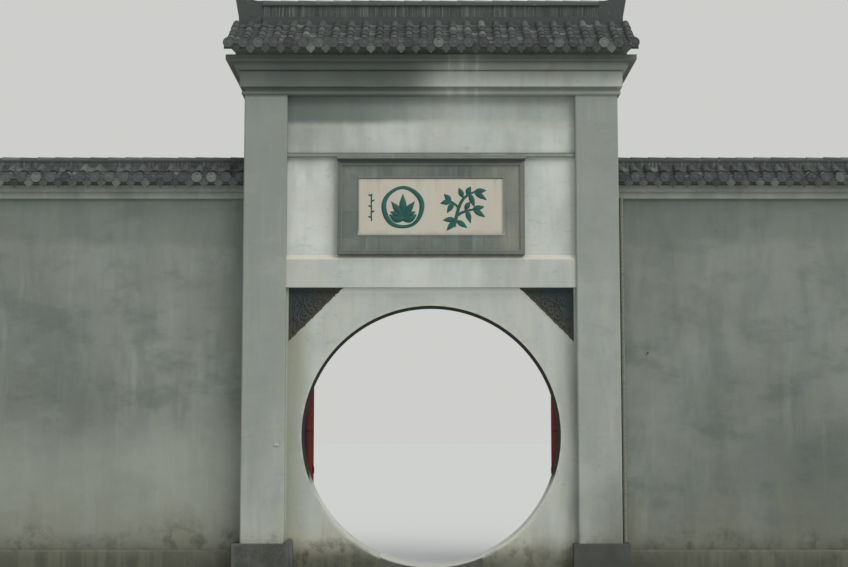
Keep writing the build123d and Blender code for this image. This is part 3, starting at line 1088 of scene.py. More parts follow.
@dataclass
class Finishes:
    """Builds every finish once."""

    gate: Gate
    frame_lip: float = 0.046
    panel_depth: float = 0.032

    def walls(self) -> list[PlasterFinish]:
        """Give the plasters of the walls, the pilasters and the lintel.

        Returns:
            The finishes.
        """
        gate = self.gate
        return [
            PlasterFinish(
                "moon_plaster", light=shade(182, 185, 178), grey=shade(160, 165, 159),
                mould=shade(58, 59, 50), smear=0.22, gloss=0.1, strip_z=gate.lintel_under,
                grime_x=gate.inner, damp_height=0.46, damp_reach=0.2, reveal_radius=gate.opening_radius,
                reveal_centre=gate.opening_centre, shift=1.0,
            ),
            PlasterFinish(
                "pilaster_plaster", light=shade(158, 162, 155), grey=shade(134, 139, 134),
                warm=shade(149, 148, 136), cool=shade(132, 140, 137), dry=shade(182, 180, 164),
                stain=shade(150, 148, 130), smear=0.5, dull_top=0.4, outer_stain=0.6, damp_strength=0.6,
                streaks=0.12, shift=14.0,
            ),
            PlasterFinish(
                "upper_plaster", light=shade(204, 207, 201), grey=shade(186, 191, 186),
                soot=shade(94, 101, 96), smear=0.15, soot_top=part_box("upper_wall")[1].z, soot_depth=0.29,
                soot_lean=0.5, soot_fade=0.22, soot_tail=0.1, soot_edge=0.45, dull_left=0.5, lime=0.25,
                damp_height=NO_DAMP, streaks=0.12, shift=27.0,
            ),
            PlasterFinish(
                "lintel_plaster", light=shade(194, 197, 191), grey=shade(172, 177, 172),
                damp_height=NO_DAMP, ledge_z=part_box("lintel")[1].z,
                ledge_x=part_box("plaque_frame_right")[1].x, streaks=0.12, shift=33.0,
            ),
            # the garden walls' colours are darker than the gate's: partly their weathering, partly painted
            # shade
            PlasterFinish(
                "garden_plaster", light=shade(132, 137, 130), grey=shade(104, 110, 105),
                warm=shade(116, 117, 104), cool=shade(86, 94, 91), dry=shade(118, 118, 104),
                stain=shade(102, 102, 88), foot=shade(84, 85, 74), smear=0.42, low_lean=0.4,
                damp_height=0.62, damp_reach=0.34, soot_top=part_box("right_side_wall")[1].z, soot_depth=0.5,
                soot_strength=0.5, soot_tail=0.3, streaks=0.3, pale_runs=0.08, shift=52.0,
            ),
            PlasterFinish(
                "coping_plaster", light=shade(150, 153, 146), grey=shade(122, 127, 121),
                damp_height=NO_DAMP, streaks=0.4, shift=61.0,
            ),
            PlasterFinish(
                "plinth_plaster", light=shade(118, 121, 114), grey=shade(98, 102, 96),
                warm=shade(104, 103, 90), cool=shade(92, 97, 93), dry=shade(108, 107, 93),
                stain=shade(94, 93, 80), foot=shade(80, 81, 70), damp_height=0.45, shift=71.0,
            ),
        ]

    @staticmethod
    def cornice() -> list[PlasterFinish]:
        """Give the plasters of the cornice's courses, darker from their tops and on the left: soot, and
        painted shade under the course above and on the left.

        Returns:
            The finishes.
        """
        shared = {
            "damp_height": NO_DAMP, "soot_depth": 0.2, "soot_turn": (-0.3, 0.2), "soot_tail": 0.0,
            "soot": shade(84, 90, 85), "streaks": 0.3, "shift": 63.0,
        }
        courses = {
            # the corona's dark colour is partly painted shade under the eave
            "corona": (shade(108, 113, 107), 0.2, 0.0, 0.2),
            "ovolo": (shade(158, 162, 154), 0.45, 0.25, 0.35),
            "fascia": (shade(188, 192, 184), 0.5, 0.45, 0.45),
            "bed": (shade(162, 166, 158), 0.45, 0.2, 0.35),
        }
        made = []
        for name, (light, lean, fade, lime) in courses.items():
            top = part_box(f"cornice_{name}")[1].z
            shades = {"light": light, "grey": light, "soot_top": top, "soot_lean": lean, "soot_fade": fade}
            made.append(PlasterFinish(f"{name}_plaster", lime=lime, **shades, **shared))
        return made

    def masonry(self) -> list[BrickFinish | CarvedFinish | StoneFinish | BoardFinish]:
        """Give the finishes of bricks, stones and the plaque's board.

        Returns:
            The finishes.
        """
        gate = self.gate
        board_low, board_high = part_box("plaque_board")
        frame_low, frame_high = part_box("plaque_frame_right")
        panel_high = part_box("right_spandrel")[1]
        width = self.frame_lip
        frame = {
            "lip": (frame_high.x - width, frame_low.z + width, frame_high.z - width),
            "bead": (board_high.x, board_low.z, board_high.z),
            "sun_side": 0.55,
        }
        return [
            BrickFinish("frame_brick", shade_top=frame_high.z, **frame),
            BrickFinish("frame_brick_upright", upright=True, module=0.29, shift=9.0, **frame),
            BrickFinish(
                "crown_brick", module=0.31, base=shade(124, 129, 123), dark=shade(96, 101, 96),
                shade_low=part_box("plaque_crown")[0].z, shift=4.0,
            ),
            BrickFinish(
                "string_brick", module=0.31, base=shade(140, 145, 138), dark=shade(116, 121, 115),
                run_strength=0.3, shade_top=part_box("string_course")[1].z, shade_depth=0.014, shift=3.0,
            ),
            CarvedFinish(
                "carved_brick", face_y=panel_high.y - self.panel_depth, corner_x=panel_high.x,
                corner_z=panel_high.z,
            ),
            StoneFinish("base_stone", shade(94, 96, 87), shade(58, 61, 56), dark_right=0.8),
            # the threshold's dark colours are partly painted shade on the step's front
            StoneFinish(
                "threshold_stone", shade(82, 83, 74), shade(58, 59, 52), pale=shade(108, 109, 99),
                green=0.2, rim_radius=gate.opening_radius, rim_centre=gate.opening_centre, shift=5.0,
            ),
            BoardFinish(board_low.z, board_high.z),
        ]

    @staticmethod
    def trim() -> list[PaintFinish | TileFinish | IronFinish]:
        """Give the finishes of paint, tiles and iron.

        Returns:
            The finishes.
        """
        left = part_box("left_door_leaf")[1].x
        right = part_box("right_door_leaf")[0].x
        return [
            PaintFinish(
                "teal_paint", shade(28, 78, 72), shade(44, 98, 90), shade(150, 146, 130), wear=0.22,
                roughness=0.6,
            ),
            PaintFinish(
                "red_paint", shade(104, 33, 28), shade(118, 46, 38), shade(70, 42, 32), wear=0.4,
                grain=(1, 1, 0.06), roughness=0.75, gloss=0.03, shade_from=0.3, shade_to=1.0,
                shade_x=(left + right) / 2, shade_reach=(right - left) / 2 + 0.03,
            ),
            TileFinish("roof_tile"),
            TileFinish("ridge_tile", base=shade(94, 98, 95), dark=shade(62, 66, 64)),
            IronFinish("door_iron"),
            IronFinish("pipe_paint", base=shade(122, 124, 112), rust=shade(66, 62, 52)),
        ]

    def build(self) -> None:
        """Make all materials and file them by name."""
        for finish in (*self.walls(), *self.cornice(), *self.masonry(), *self.trim()):
            self.gate.finishes[finish.name] = finish.build()
        LOG.info("finishes: %d", len(self.gate.finishes))


@dataclass
class Masonry:
    """Gives the CAD nodes that stay on view their finishes. A star stands for left and right."""

    gate: Gate
    dress: dict[str, tuple[str, ...]] = field(
        default_factory=lambda: {
            "moon_plaster": ("*_upper_moon_wall", "*_lower_moon_wall"),
            "pilaster_plaster": ("*_pilaster",),
            "upper_plaster": ("upper_wall",),
            "lintel_plaster": ("lintel",),
            "garden_plaster": ("*_side_wall",),
            "plinth_plaster": ("*_plinth",),
            "bed_plaster": ("cornice_bed",),
            "fascia_plaster": ("cornice_fascia",),
            "ovolo_plaster": ("cornice_ovolo",),
            "corona_plaster": ("cornice_corona",),
            "coping_plaster": ("roof_core", "*_coping_cornice"),
            "frame_brick": ("plaque_frame_top", "plaque_frame_bottom"),
            "crown_brick": ("plaque_crown",),
            "frame_brick_upright": ("plaque_frame_*",),
            "string_brick": ("string_course",),
            "base_stone": ("*_pilaster_base", "*_pivot_stone"),
            "threshold_stone": ("threshold_stone",),
            "board_stone": ("plaque_board",),
            "carved_brick": ("*_spandrel",),
            "red_paint": ("door_head",),
            "ridge_tile": ("roof_ridge", "*_ridge_end"),
            "roof_tile": ("front_roof_slope", "rear_roof_slope", "*_coping_roof", "*_coping_ridge"),
            "pipe_paint": ("right_downpipe",),
        }
    )

    def build(self, nodes: dict[str, Piece]) -> None:
        """Put each finish on its nodes.

        Args:
            nodes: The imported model's objects by name.
        """
        for finish, patterns in self.dress.items():
            names = {pattern.replace("*", side.word) for pattern in patterns for side in Side}
            for name in names:
                nodes[name].data.materials.clear()
                nodes[name].data.materials.append(self.gate.finishes[finish])
            LOG.info("%s: %s", finish, ", ".join(sorted(names)))


@dataclass
class Slope:
    """The sagging line of a tile bed, from the eave up to the ridge, on the front side."""

    eave_y: float
    eave_z: float
    head_y: float
    head_z: float
    sag: float

    def point(self, share: float) -> tuple[float, float]:
        """Give Y and Z at a share of the way up."""
        z = self.eave_z + (self.head_z - self.eave_z) * share
        return self.eave_y + (self.head_y - self.eave_y) * share, z - 4 * self.sag * share * (1 - share)

    def pitch(self, share: float) -> float:
        """Give the slope's angle at a share of the way up."""
        (y0, z0), (y1, z1) = self.point(share - 0.02), self.point(share + 0.02)
        return math.atan2(z1 - z0, y1 - y0)

    def length(self) -> float:
        """Give the straight length from eave to ridge."""
        return math.hypot(self.head_y - self.eave_y, self.head_z - self.eave_z)


@dataclass
class TileRoof:
    """Rows of cover tiles over pan tiles on both slopes, with end discs and drip tiles along the eaves."""

    gate: Gate
    name: str
    slope: Slope
    x_low: float
    x_high: float
    pitch: float = 0.16
    tile_thickness: float = 0.011
    cover_radius: float = 0.047
    cover_step: float = 0.165
    cover_lap: float = 1.18
    cover_taper: float = 0.86
    cover_lift: float = 0.022
    pan_radius: float = 0.085
    pan_step: float = 0.085
    pan_lap: float = 1.5
    pan_depth: float = 0.42
    pan_lift: float = 0.001
    pan_tip: float = 0.93
    disc_radius: float = 0.057
    disc_thickness: float = 0.018
    disc_lift: float = 0.026
    disc_loose: float = 0.06
    disc_rings: tuple[tuple[float, float], ...] = ((0.108, 0.3), (0.18, -0.18), (0.18, 0.18), (0.18, -0.3))
    drip_width: float = 0.12
    drip_height: float = 0.096
    drip_thickness: float = 0.012
    drip_rims: tuple[tuple[float, float], ...] = ((0.007, 0.004), (0.012, -0.005))
    drip_lean: float = 0.1
    drip_loose: float = 0.05
    drip_out: float = 0.013
    drip_lift: float = 0.004
    jitter: float = 0.012
    seed: int = 1
    rng: random.Random = field(init=False)
    rows: int = field(init=False)
    spacing: float = field(init=False)

    def __post_init__(self) -> None:
        """Fit a whole number of rows to the length."""
        self.rng = random.Random(self.seed)
        span = self.x_high - self.x_low - 2 * self.cover_radius
        self.rows = max(2, round(span / self.pitch) + 1)
        self.spacing = span / (self.rows - 1)

    def row_x(self, index: float) -> float:
        """Give the X of a row of cover tiles."""
        return self.x_low + self.cover_radius + self.spacing * index

    def shell(self, tile: Piece) -> Piece:
        """Give an open tile its thickness."""
        Bench.modify(tile, "SOLIDIFY", thickness=self.tile_thickness, offset=-1)
        return Bench.smooth(Bench.outward(tile), 40)

    def cover(self) -> Piece:
        """Model one half-round cover tile, lower end at the origin, running up +Y.

        Returns:
            The tile.
        """
        length = self.cover_step * self.cover_lap
        tile = Bench.rod("cover_tile", (0, length / 2, 0), self.cover_radius, length, Axis.Y, 16, False)
        Bench.cut(tile, lambda centre, normal: centre.z < 0)
        taper = (self.cover_taper, 1, self.cover_taper)
        Bench.squeeze(tile, taper, (0, length, 0), lambda point: point.y > length / 2)
        return self.shell(tile)

    def pan(self) -> Piece:
        """Model one hollow pan tile, lower end at the origin, running up +Y.

        Returns:
            The tile.
        """
        length = self.pan_step * self.pan_lap
        centre = (0, length / 2, self.pan_radius)
        tile = Bench.rod("pan_tile", centre, self.pan_radius, length, Axis.Y, 24, False)
        Bench.cut(tile, lambda place, normal: place.z > self.pan_radius * self.pan_depth)
        return self.shell(tile)

    def disc(self) -> Piece:
        """Model one round end tile with a rim, a ring and a boss, facing -Y.

        Returns:
            The tile.
        """
        thick = self.disc_thickness
        disc = Bench.rod("end_disc", (0, thick / 2, 0), self.disc_radius, thick, Axis.Y, 20)
        steps = [(self.disc_radius * share, (0, thick * sink, 0)) for share, sink in self.disc_rings]
        Bench.terrace(disc, lambda centre, normal: normal.y < -0.9, steps)
        return Bench.smooth(disc, 30)

    def drip(self) -> Piece:
        """Model one drip tile: a rimmed leaf that hangs under the end of a pan.

        Returns:
            The tile.
        """
        half = self.drip_width / 2
        thick = self.drip_thickness
        tile = Bench.rod("drip_tile", (0, thick / 2, 0), half, thick, Axis.Y, 16)
        Bench.squeeze(tile, (1, 1, 0.2), (0, 0, 0), lambda point: point.z > 0.001)
        Bench.squeeze(tile, (1, 1, self.drip_height / half * 0.8), (0, 0, 0), lambda point: point.z < -0.001)
        with Bench.edit(tile, lambda point: point.z < 0 and abs(point.x) < 0.005, Part.POINTS):
            bpy.ops.transform.translate(value=(0, 0, -self.drip_height * 0.2))
        steps = [(width, (0, move, 0)) for width, move in self.drip_rims]
        Bench.terrace(tile, lambda centre, normal: normal.y < -0.9, steps)
        return Bench.smooth(tile, 30)

    def place(self, x: float, share: float, lift: float, tip: float = 1.0) -> Matrix:
        """Give a tile's place on the slope.

        Args:
            x: Its place along the wall.
            share: How far up the slope its lower end is.
            lift: Height over the bed.
            tip: Share of the slope's own angle that the tile is tipped by.

        Returns:
            The matrix.
        """
        y, z = self.slope.point(share)
        jitter = self.rng.uniform(-self.jitter, self.jitter)
        turn = Matrix.Rotation(self.slope.pitch(max(share, 0.02)) * tip, 4, "X")
        twist = Matrix.Rotation(jitter, 4, "Z")
        return Matrix.Translation((x, y, z + lift + jitter * 0.1)) @ turn @ twist

    def eave(self, index: float, out: float, lift: float, lean: float, loose: float) -> Matrix:
        """Give the place of a tile along the eave.

        Args:
            index: Its row.
            out: How far it stands before the eave.
            lift: Height over the eave.
            lean: Angle that it hangs at.
            loose: How far the angle strays.

        Returns:
            The matrix.
        """
        place = (self.row_x(index), self.slope.eave_y - out, self.slope.eave_z + lift)
        return Matrix.Translation(place) @ Matrix.Rotation(lean + self.rng.uniform(-loose, loose), 4, "X")

    def both(self, places: list[Matrix]) -> list[Matrix]:
        """Add the places on the rear slope, turned half round about the ridge's middle."""
        centre = Matrix.Translation(((self.x_low + self.x_high) / 2, 0, 0))
        turn = centre @ Matrix.Rotation(math.pi, 4, "Z") @ centre.inverted()
        return places + [turn @ place for place in places]

    def build(self) -> None:
        """Lay all tiles of this roof."""
        covers = math.ceil(self.slope.length() / self.cover_step)
        pans = math.ceil(self.slope.length() / self.pan_step)
        rows = range(self.rows)
        gaps = range(self.rows - 1)
        cover = [
            self.place(self.row_x(row), up / covers, self.cover_lift)
            for row in rows
            for up in range(covers)
        ]
        pan = [
            self.place(self.row_x(row + 0.5), up / pans, self.pan_lift, self.pan_tip)
            for row in gaps
            for up in range(pans)
        ]
        disc = [self.eave(row, self.disc_thickness, self.disc_lift, 0, self.disc_loose) for row in rows]
        hang = (self.drip_out, self.drip_lift, self.drip_lean, self.drip_loose)
        drip = [self.eave(row + 0.5, *hang) for row in gaps]
        sets = {
            "cover_tiles": (self.cover(), cover),
            "pan_tiles": (self.pan(), pan),
            "end_discs": (self.disc(), disc),
            "drip_tiles": (self.drip(), drip),
        }
        for kind, (template, places) in sets.items():
            piece = Bench.repeat(f"{self.name}_{kind}", template, self.both(places), self.rng)
            self.gate.keep(piece, "roof_tile", "roof_tile")


@dataclass
class RidgeDress:
    """Tiles along a ridge: standing tiles on its waist and half-round tiles on its crown."""

    gate: Gate
    name: str
    x_low: float
    x_high: float
    waist_half: float
    waist_low: float
    waist_high: float
    top: float
    crown_radius: float
    seed: int
    standing_step: float = 0.019
    standing_width: float = 0.78
    standing_proud: float = 0.008
    crown_step: float = 0.2
    crown_taper: float = 0.86
    crown_lap: float = 1.04
    crown_edge: float = 0.003
    uneven: float = 0.002
    standing_turn: float = 0.03

    def build(self) -> None:
        """Lay the ridge tiles."""
        rng = random.Random(self.seed)
        self.standing(rng)
        self.crown(rng)

    def standing(self, rng: random.Random) -> None:
        """Stand thin tiles side by side on the waist.

        Args:
            rng: Draws the small unevenness of the tiles.
        """
        step = self.standing_step
        count = int((self.x_high - self.x_low) / step)
        half = (step * self.standing_width / 2, self.waist_half + self.standing_proud)
        low = (-half[0], -half[1], self.waist_low)
        tile = Bench.block("standing_tile", low, (*half, self.waist_high))
        start = (self.x_low + self.x_high) / 2 - step * (count - 1) / 2
        lift = Matrix.Translation((0, 0, (self.waist_low + self.waist_high) / 2))
        places = [
            lift
            @ Matrix.Translation((start + step * index, rng.uniform(-self.uneven, self.uneven), 0))
            @ Matrix.Rotation(rng.uniform(-self.standing_turn, self.standing_turn), 4, "Y")
            @ lift.inverted()
            for index in range(count)
        ]
        piece = Bench.repeat(f"{self.name}_standing_tiles", tile, places, rng)
        self.gate.keep(piece, "ridge_tile", "roof_tile")

    def crown(self, rng: random.Random) -> None:
        """Lay half-round tiles end to end on top.

        Args:
            rng: Draws the small unevenness of the tiles.
        """
        count = max(1, round((self.x_high - self.x_low) / self.crown_step))
        step = (self.x_high - self.x_low) / count
        tile = Bench.rod("crown_tile", (0, 0, 0), self.crown_radius, step * self.crown_lap, Axis.X, 20)
        with Bench.edit(tile, lambda place, normal: normal.x > 0.9):
            bpy.ops.transform.resize(value=(1, self.crown_taper, self.crown_taper))
        Bench.smooth(Bench.bevel(tile, self.crown_edge, 1), 40)
        places = []
        for index in range(count):
            y = rng.uniform(-self.uneven, self.uneven)
            z = self.top + rng.uniform(-self.uneven / 2, self.uneven)
            places.append(Matrix.Translation((self.x_low + step * (index + 0.5), y, z)))
        piece = Bench.repeat(f"{self.name}_crown_tiles", tile, places, rng)
        self.gate.keep(piece, "ridge_tile", "roof_tile")


@dataclass
class Roofs:
    """The main roof and the copings of both garden walls."""

    gate: Gate
    slab: float = 0.045
    sag: float = 0.034
    waist_foot: float = 0.15
    waist: float = 0.13
    waist_half: float = 0.062
    crown_lift: float = 0.03
    crown_radius: float = 0.05
    coping_slab: float = 0.05
    coping_sag: float = 0.018
    coping_step: float = 0.16
    coping_waist_half: float = 0.05
    coping_waist_drop: float = 0.04
    coping_crown_drop: float = 0.022
    coping_crown_radius: float = 0.045

    def build(self) -> None:
        """Lay all roofs."""
        low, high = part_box("front_roof_slope")
        slope = Slope(low.y, low.z + self.slab, high.y, high.z, self.sag)
        TileRoof(self.gate, "main_roof", slope, low.x, high.x, seed=21).build()
        low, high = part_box("roof_ridge")
        foot = low.z + self.waist_foot
        head = foot + self.waist
        sizes = (self.waist_half, foot, head, head + self.crown_lift, self.crown_radius)
        RidgeDress(self.gate, "main_ridge", low.x, high.x, *sizes, 8).build()
        for side in Side:
            low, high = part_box(f"{side.word}_coping_roof")
            cap_low, cap_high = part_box(f"{side.word}_coping_ridge")
            slope = Slope(low.y, low.z + self.coping_slab, cap_low.y, high.z, self.coping_sag)
            name = f"{side.word}_coping"
            seed = 31 + side.value
            TileRoof(self.gate, name, slope, low.x, high.x, cover_step=self.coping_step, seed=seed).build()
            heights = (cap_low.z, cap_high.z - self.coping_waist_drop, cap_high.z - self.coping_crown_drop)
            sizes = (self.coping_waist_half, *heights, self.coping_crown_radius)
            RidgeDress(self.gate, f"{name}_ridge", cap_low.x, cap_high.x, *sizes, seed + 10).build()


def spiral(
    centre: tuple[float, float], start: float, size: float, turns: float, way: int, steps: int = 22
) -> Stroke:
    """Give a scroll that winds in to its centre and tapers, in the plane of a panel.

    Args:
        centre: Where it ends.
        start: Angle of its outer end, in degrees.
        size: Radius of its outer end.
        turns: How many times it winds.
        way: 1 for anticlockwise, -1 for clockwise.
        steps: Number of points.

    Returns:
        Points with their share of the stroke's thickness.
    """
    line = []
    for index in range(steps):
        share = index / (steps - 1)
        radius = size * (1 - share) ** 0.85 + size * 0.1 * share
        angle = math.radians(start) + way * share * turns * 2 * math.pi
        width = 0.75 + 0.35 * math.sin(math.pi * share)
        line.append((centre[0] + radius * math.cos(angle), centre[1] + radius * math.sin(angle), width))
    return line


@dataclass
class SpandrelCarving:
    """A blossom in the corner of the panel and scrolls that run out to its points."""

    gate: Gate
    rib: float = 0.034
    panel_thickness: float = 0.032
    scroll_inset: float = 0.6
    blossom: float = 0.17
    heart: Point = (0.02, 0.016, 0.02)
    heart_proud: float = 0.006
    petal_rings: tuple[tuple[int, float, float], ...] = ((5, 0.032, 0.72), (7, 0.064, 0.74))
    petal_size: float = 0.058
    petal_depth: float = 0.009
    petal_shape: float = 0.78
    petal_proud: float = 0.004
    stroke: float = 0.0155
    flatten: float = 0.75
    crumbs: int = 30
    corner: Vector = field(init=False)
    foot: Vector = field(init=False)
    face_y: float = field(init=False)

    def __post_init__(self) -> None:
        """Find the panel's corner and its sunk face."""
        self.foot, self.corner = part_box("right_spandrel")
        self.face_y = self.corner.y - self.panel_thickness

    def on_panel(self, along: float, down: float, side: Side) -> tuple[float, float]:
        """Turn a distance along and down from the upper corner into X and Z."""
        return side.value * (self.corner.x - along), self.corner.z - down

    @staticmethod
    def scrolls() -> list[Stroke]:
        """Give the scrolls of one half, as distances from the corner; the other half mirrors them.

        Returns:
            The strokes.
        """
        return [
            [(0.19, 0.13, 0.9), (0.26, 0.075, 1.0), (0.34, 0.095, 0.9), (0.42, 0.07, 0.7), (0.5, 0.052, 0.4)],
            spiral((0.285, 0.155), 215, 0.047, 1.3, 1),
            spiral((0.375, 0.12), 120, 0.036, 1.2, -1),
            spiral((0.32, 0.052), 20, 0.026, 1.0, 1, 16),
            spiral((0.455, 0.062), 200, 0.02, 1.0, 1, 16),
            spiral((0.235, 0.225), 250, 0.036, 1.1, -1),
            [(0.25, 0.19, 0.4), (0.3, 0.218, 1.5), (0.34, 0.2, 0.3)],
            [(0.335, 0.16, 0.3), (0.385, 0.162, 1.4), (0.42, 0.14, 0.3)],
            [(0.115, 0.06, 0.4), (0.17, 0.045, 1.5), (0.23, 0.05, 0.3)],
            [(0.1, 0.11, 0.4), (0.07, 0.07, 1.4), (0.05, 0.045, 0.3)],
            [(0.4, 0.035, 0.3), (0.44, 0.025, 1.0), (0.48, 0.028, 0.2)],
        ]

    def blossoms(self, side: Side) -> list[Piece]:
        """Model the open blossom: two rings of petals round a heart.

        Args:
            side: Side of the opening.

        Returns:
            Its parts.
        """
        x, z = self.on_panel(self.blossom, self.blossom, side)
        parts = [Bench.dome("heart", (x, self.face_y - self.heart_proud, z), self.heart, 14)]
        for ring, (count, reach, size) in enumerate(self.petal_rings):
            for index in range(count):
                angle = 2 * math.pi * (index + ring * 0.5) / count + 0.3
                y = self.face_y - self.petal_proud + ring * self.petal_proud / 2
                centre = (x + reach * math.cos(angle), y, z + reach * math.sin(angle))
                half = self.petal_size * size / 2
                petal = Bench.dome("petal", (0, 0, 0), (half, self.petal_depth, half * self.petal_shape))
                petal.data.transform(Matrix.Translation(centre) @ Matrix.Rotation(-angle, 4, "Y"))
                parts.append(petal)
        return parts

    def half(self, line: Stroke, side: Side, swap: bool) -> Stroke:
        """Lay one scroll on the panel, along its top or, swapped, down its side.

        Args:
            line: The scroll, as distances from the corner.
            side: Side of the opening.
            swap: Whether it runs down the side.

        Returns:
            The stroke in X and Z.
        """
        inset = self.rib * self.scroll_inset
        points = []
        for along, down, width in line:
            ends = (down + inset, along + inset) if swap else (along + inset, down + inset)
            points.append((*self.on_panel(*ends, side), width))
        return points

    def ragged_edge(self, side: Side) -> Piece:
        """Model the crumbs of plaster that lap over the panel along its sloping edge.

        Args:
            side: Side of the opening.

        Returns:
            The crumbs as one piece.
        """
        rng = random.Random(60 + side.value)
        run = self.corner.x - self.foot.x
        rise = self.corner.z - self.foot.z
        lean = math.atan2(rise, run) * side.value
        parts = []
        for index in range(self.crumbs):
            share = (index + rng.uniform(0.1, 0.9)) / self.crumbs
            x, z = self.on_panel(run * share, rise * (1 - share), side)
            half = rng.uniform(0.014, 0.04)
            crumb = Bench.dome("crumb", (0, 0, 0), (half, 0.004, rng.uniform(0.004, 0.011)), 10)
            turn = Matrix.Rotation(lean + rng.uniform(-0.25, 0.25), 4, "Y")
            crumb.data.transform(Matrix.Translation((x, self.gate.wall_front + 0.001, z)) @ turn)
            parts.append(crumb)
        return Bench.smooth(Bench.join(parts, f"{side.word}_plaster_edge"), 60)

    def build(self) -> None:
        """Carve both panels."""
        for side in Side:
            lines = [self.half(line, side, swap) for line in self.scrolls() for swap in (False, True)]
            carving = Bench.strokes("carving_strokes", lines, self.stroke, self.face_y, self.flatten)
            piece = Bench.join([carving, *self.blossoms(side)], f"{side.word}_spandrel_carving")
            self.gate.keep(Bench.smooth(piece, 50), "carved_brick", "carved_brick")
            self.gate.keep(self.ragged_edge(side), "moon_plaster", "wall_plaster")


@dataclass
class PlaqueOrnament:
    """A flower in a round frame and a spray of leaves, in worn teal relief."""

    gate: Gate
    stroke: float = 0.027
    relief: float = 0.38
    ring_centre: tuple[float, float] = (-0.309, 3.969)
    ring_radius: float = 0.209
    ring_points: int = 32
    spray_foot: tuple[float, float] = (0.248, 3.755)

    def medallion(self) -> list[Stroke]:
        """Give the round frame and the open lotus in it.

        Returns:
            The strokes.
        """
        cx, cz = self.ring_centre
        ring = []
        for index in range(self.ring_points + 1):
            angle = 2 * math.pi * index / self.ring_points + 0.9
            radius = self.ring_radius * (1 + 0.015 * math.sin(5 * angle))
            width = 0.85 + 0.2 * math.sin(2 * angle + 1)
            ring.append((cx + radius * math.cos(angle), cz + radius * 1.04 * math.sin(angle), width))
        lines = [ring]
        foot = cz - 0.1
        petals = ((-70, 0.15, 1.5), (-38, 0.21, 1.9), (0, 0.25, 2.1), (38, 0.21, 1.9), (70, 0.15, 1.5))
        for lean, reach, width in petals:
            x = reach * math.cos(math.radians(90 - lean))
            z = reach * math.sin(math.radians(90 - lean))
            steps = ((0.0, 0.6), (0.3, width), (0.6, width), (0.85, 0.7), (1.0, 0.12))
            lines.append([(cx + x * k, foot + z * k, wide * 0.72) for k, wide in steps])
        for bow in (-1, 1):
            leaf = ((0.0, -0.02, 1.0), (0.05, -0.038, 1.5), (0.1, -0.02, 1.4), (0.145, 0.02, 0.3))
            lines.append([(cx + bow * dx, foot + dz, width) for dx, dz, width in leaf])
        return lines

    @staticmethod
    def leaf(x: float, z: float, degrees: float, reach: float) -> Stroke:
        """Give one pointed leaf that hangs a little.

        Args:
            x: Where it grows from.
            z: Where it grows from.
            degrees: The way that it points.
            reach: Its length.

        Returns:
            Its stroke.
        """
        dx = reach * math.cos(math.radians(degrees))
        dz = reach * math.sin(math.radians(degrees))
        steps = ((0.0, 0.25), (0.22, 1.15), (0.45, 1.5), (0.72, 1.05), (1.0, 0.1))
        return [(x + dx * k, z + dz * k - reach * 0.1 * k * k, width * 0.8) for k, width in steps]

    def spray(self) -> list[Stroke]:
        """Give the bent stem with its pointed leaves.

        Returns:
            The strokes.
        """
        x, z = self.spray_foot
        stem = ((0, 0, 0.75), (0.03, 0.12, 0.7), (0.06, 0.24, 0.65), (0.13, 0.35, 0.55), (0.24, 0.39, 0.35))
        branch = ((0.03, 0.12, 0.6), (0.11, 0.18, 0.6), (0.22, 0.19, 0.4))
        twig = ((0.05, 0.21, 0.5), (0.0, 0.27, 0.5), (-0.06, 0.29, 0.3))
        lines = [[(x + dx, z + dz, width) for dx, dz, width in line] for line in (stem, branch, twig)]
        leaves = (
            (-0.02, 0.28, 185, 0.13), (-0.03, 0.28, 130, 0.12), (0.0, 0.27, 235, 0.13),
            (0.1, 0.32, 110, 0.13), (0.14, 0.355, 65, 0.11), (0.22, 0.385, 12, 0.14),
            (0.22, 0.385, -28, 0.16), (0.17, 0.37, -68, 0.15), (0.12, 0.185, 60, 0.12),
            (0.2, 0.19, 18, 0.14), (0.21, 0.19, -28, 0.15), (0.14, 0.185, -72, 0.14),
            (0.02, 0.08, 178, 0.14), (0.015, 0.06, 224, 0.13), (0.025, 0.07, -30, 0.14),
        )
        return lines + [self.leaf(x + dx, z + dz, degrees, reach) for dx, dz, degrees, reach in leaves]

    def sprig(self) -> list[Stroke]:
        """Give the small upright sprig near the left end of the board.

        Returns:
            The strokes.
        """
        x = self.ring_centre[0] - 0.345
        low = self.ring_centre[1] - 0.15
        lines = [[(x + 0.004 * (-1) ** k, low + 0.075 * k, 0.3) for k in range(5)]]
        for index in range(5):
            z = low + 0.03 + 0.06 * index
            bow = 1 if index % 2 else -1
            lines.append([(x, z, 0.2), (x + bow * 0.018, z + 0.022, 0.6), (x + bow * 0.036, z + 0.016, 0.1)])
        return lines

    def build(self) -> None:
        """Lay the ornament on the board."""
        face_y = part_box("plaque_board")[0].y
        groups = {"medallion": self.medallion(), "leaf_spray": self.spray(), "small_sprig": self.sprig()}
        for name, lines in groups.items():
            piece = Bench.strokes(f"plaque_{name}", lines, self.stroke, face_y, self.relief)
            self.gate.keep(Bench.smooth(piece, 50), "teal_paint", "plaque_stone")


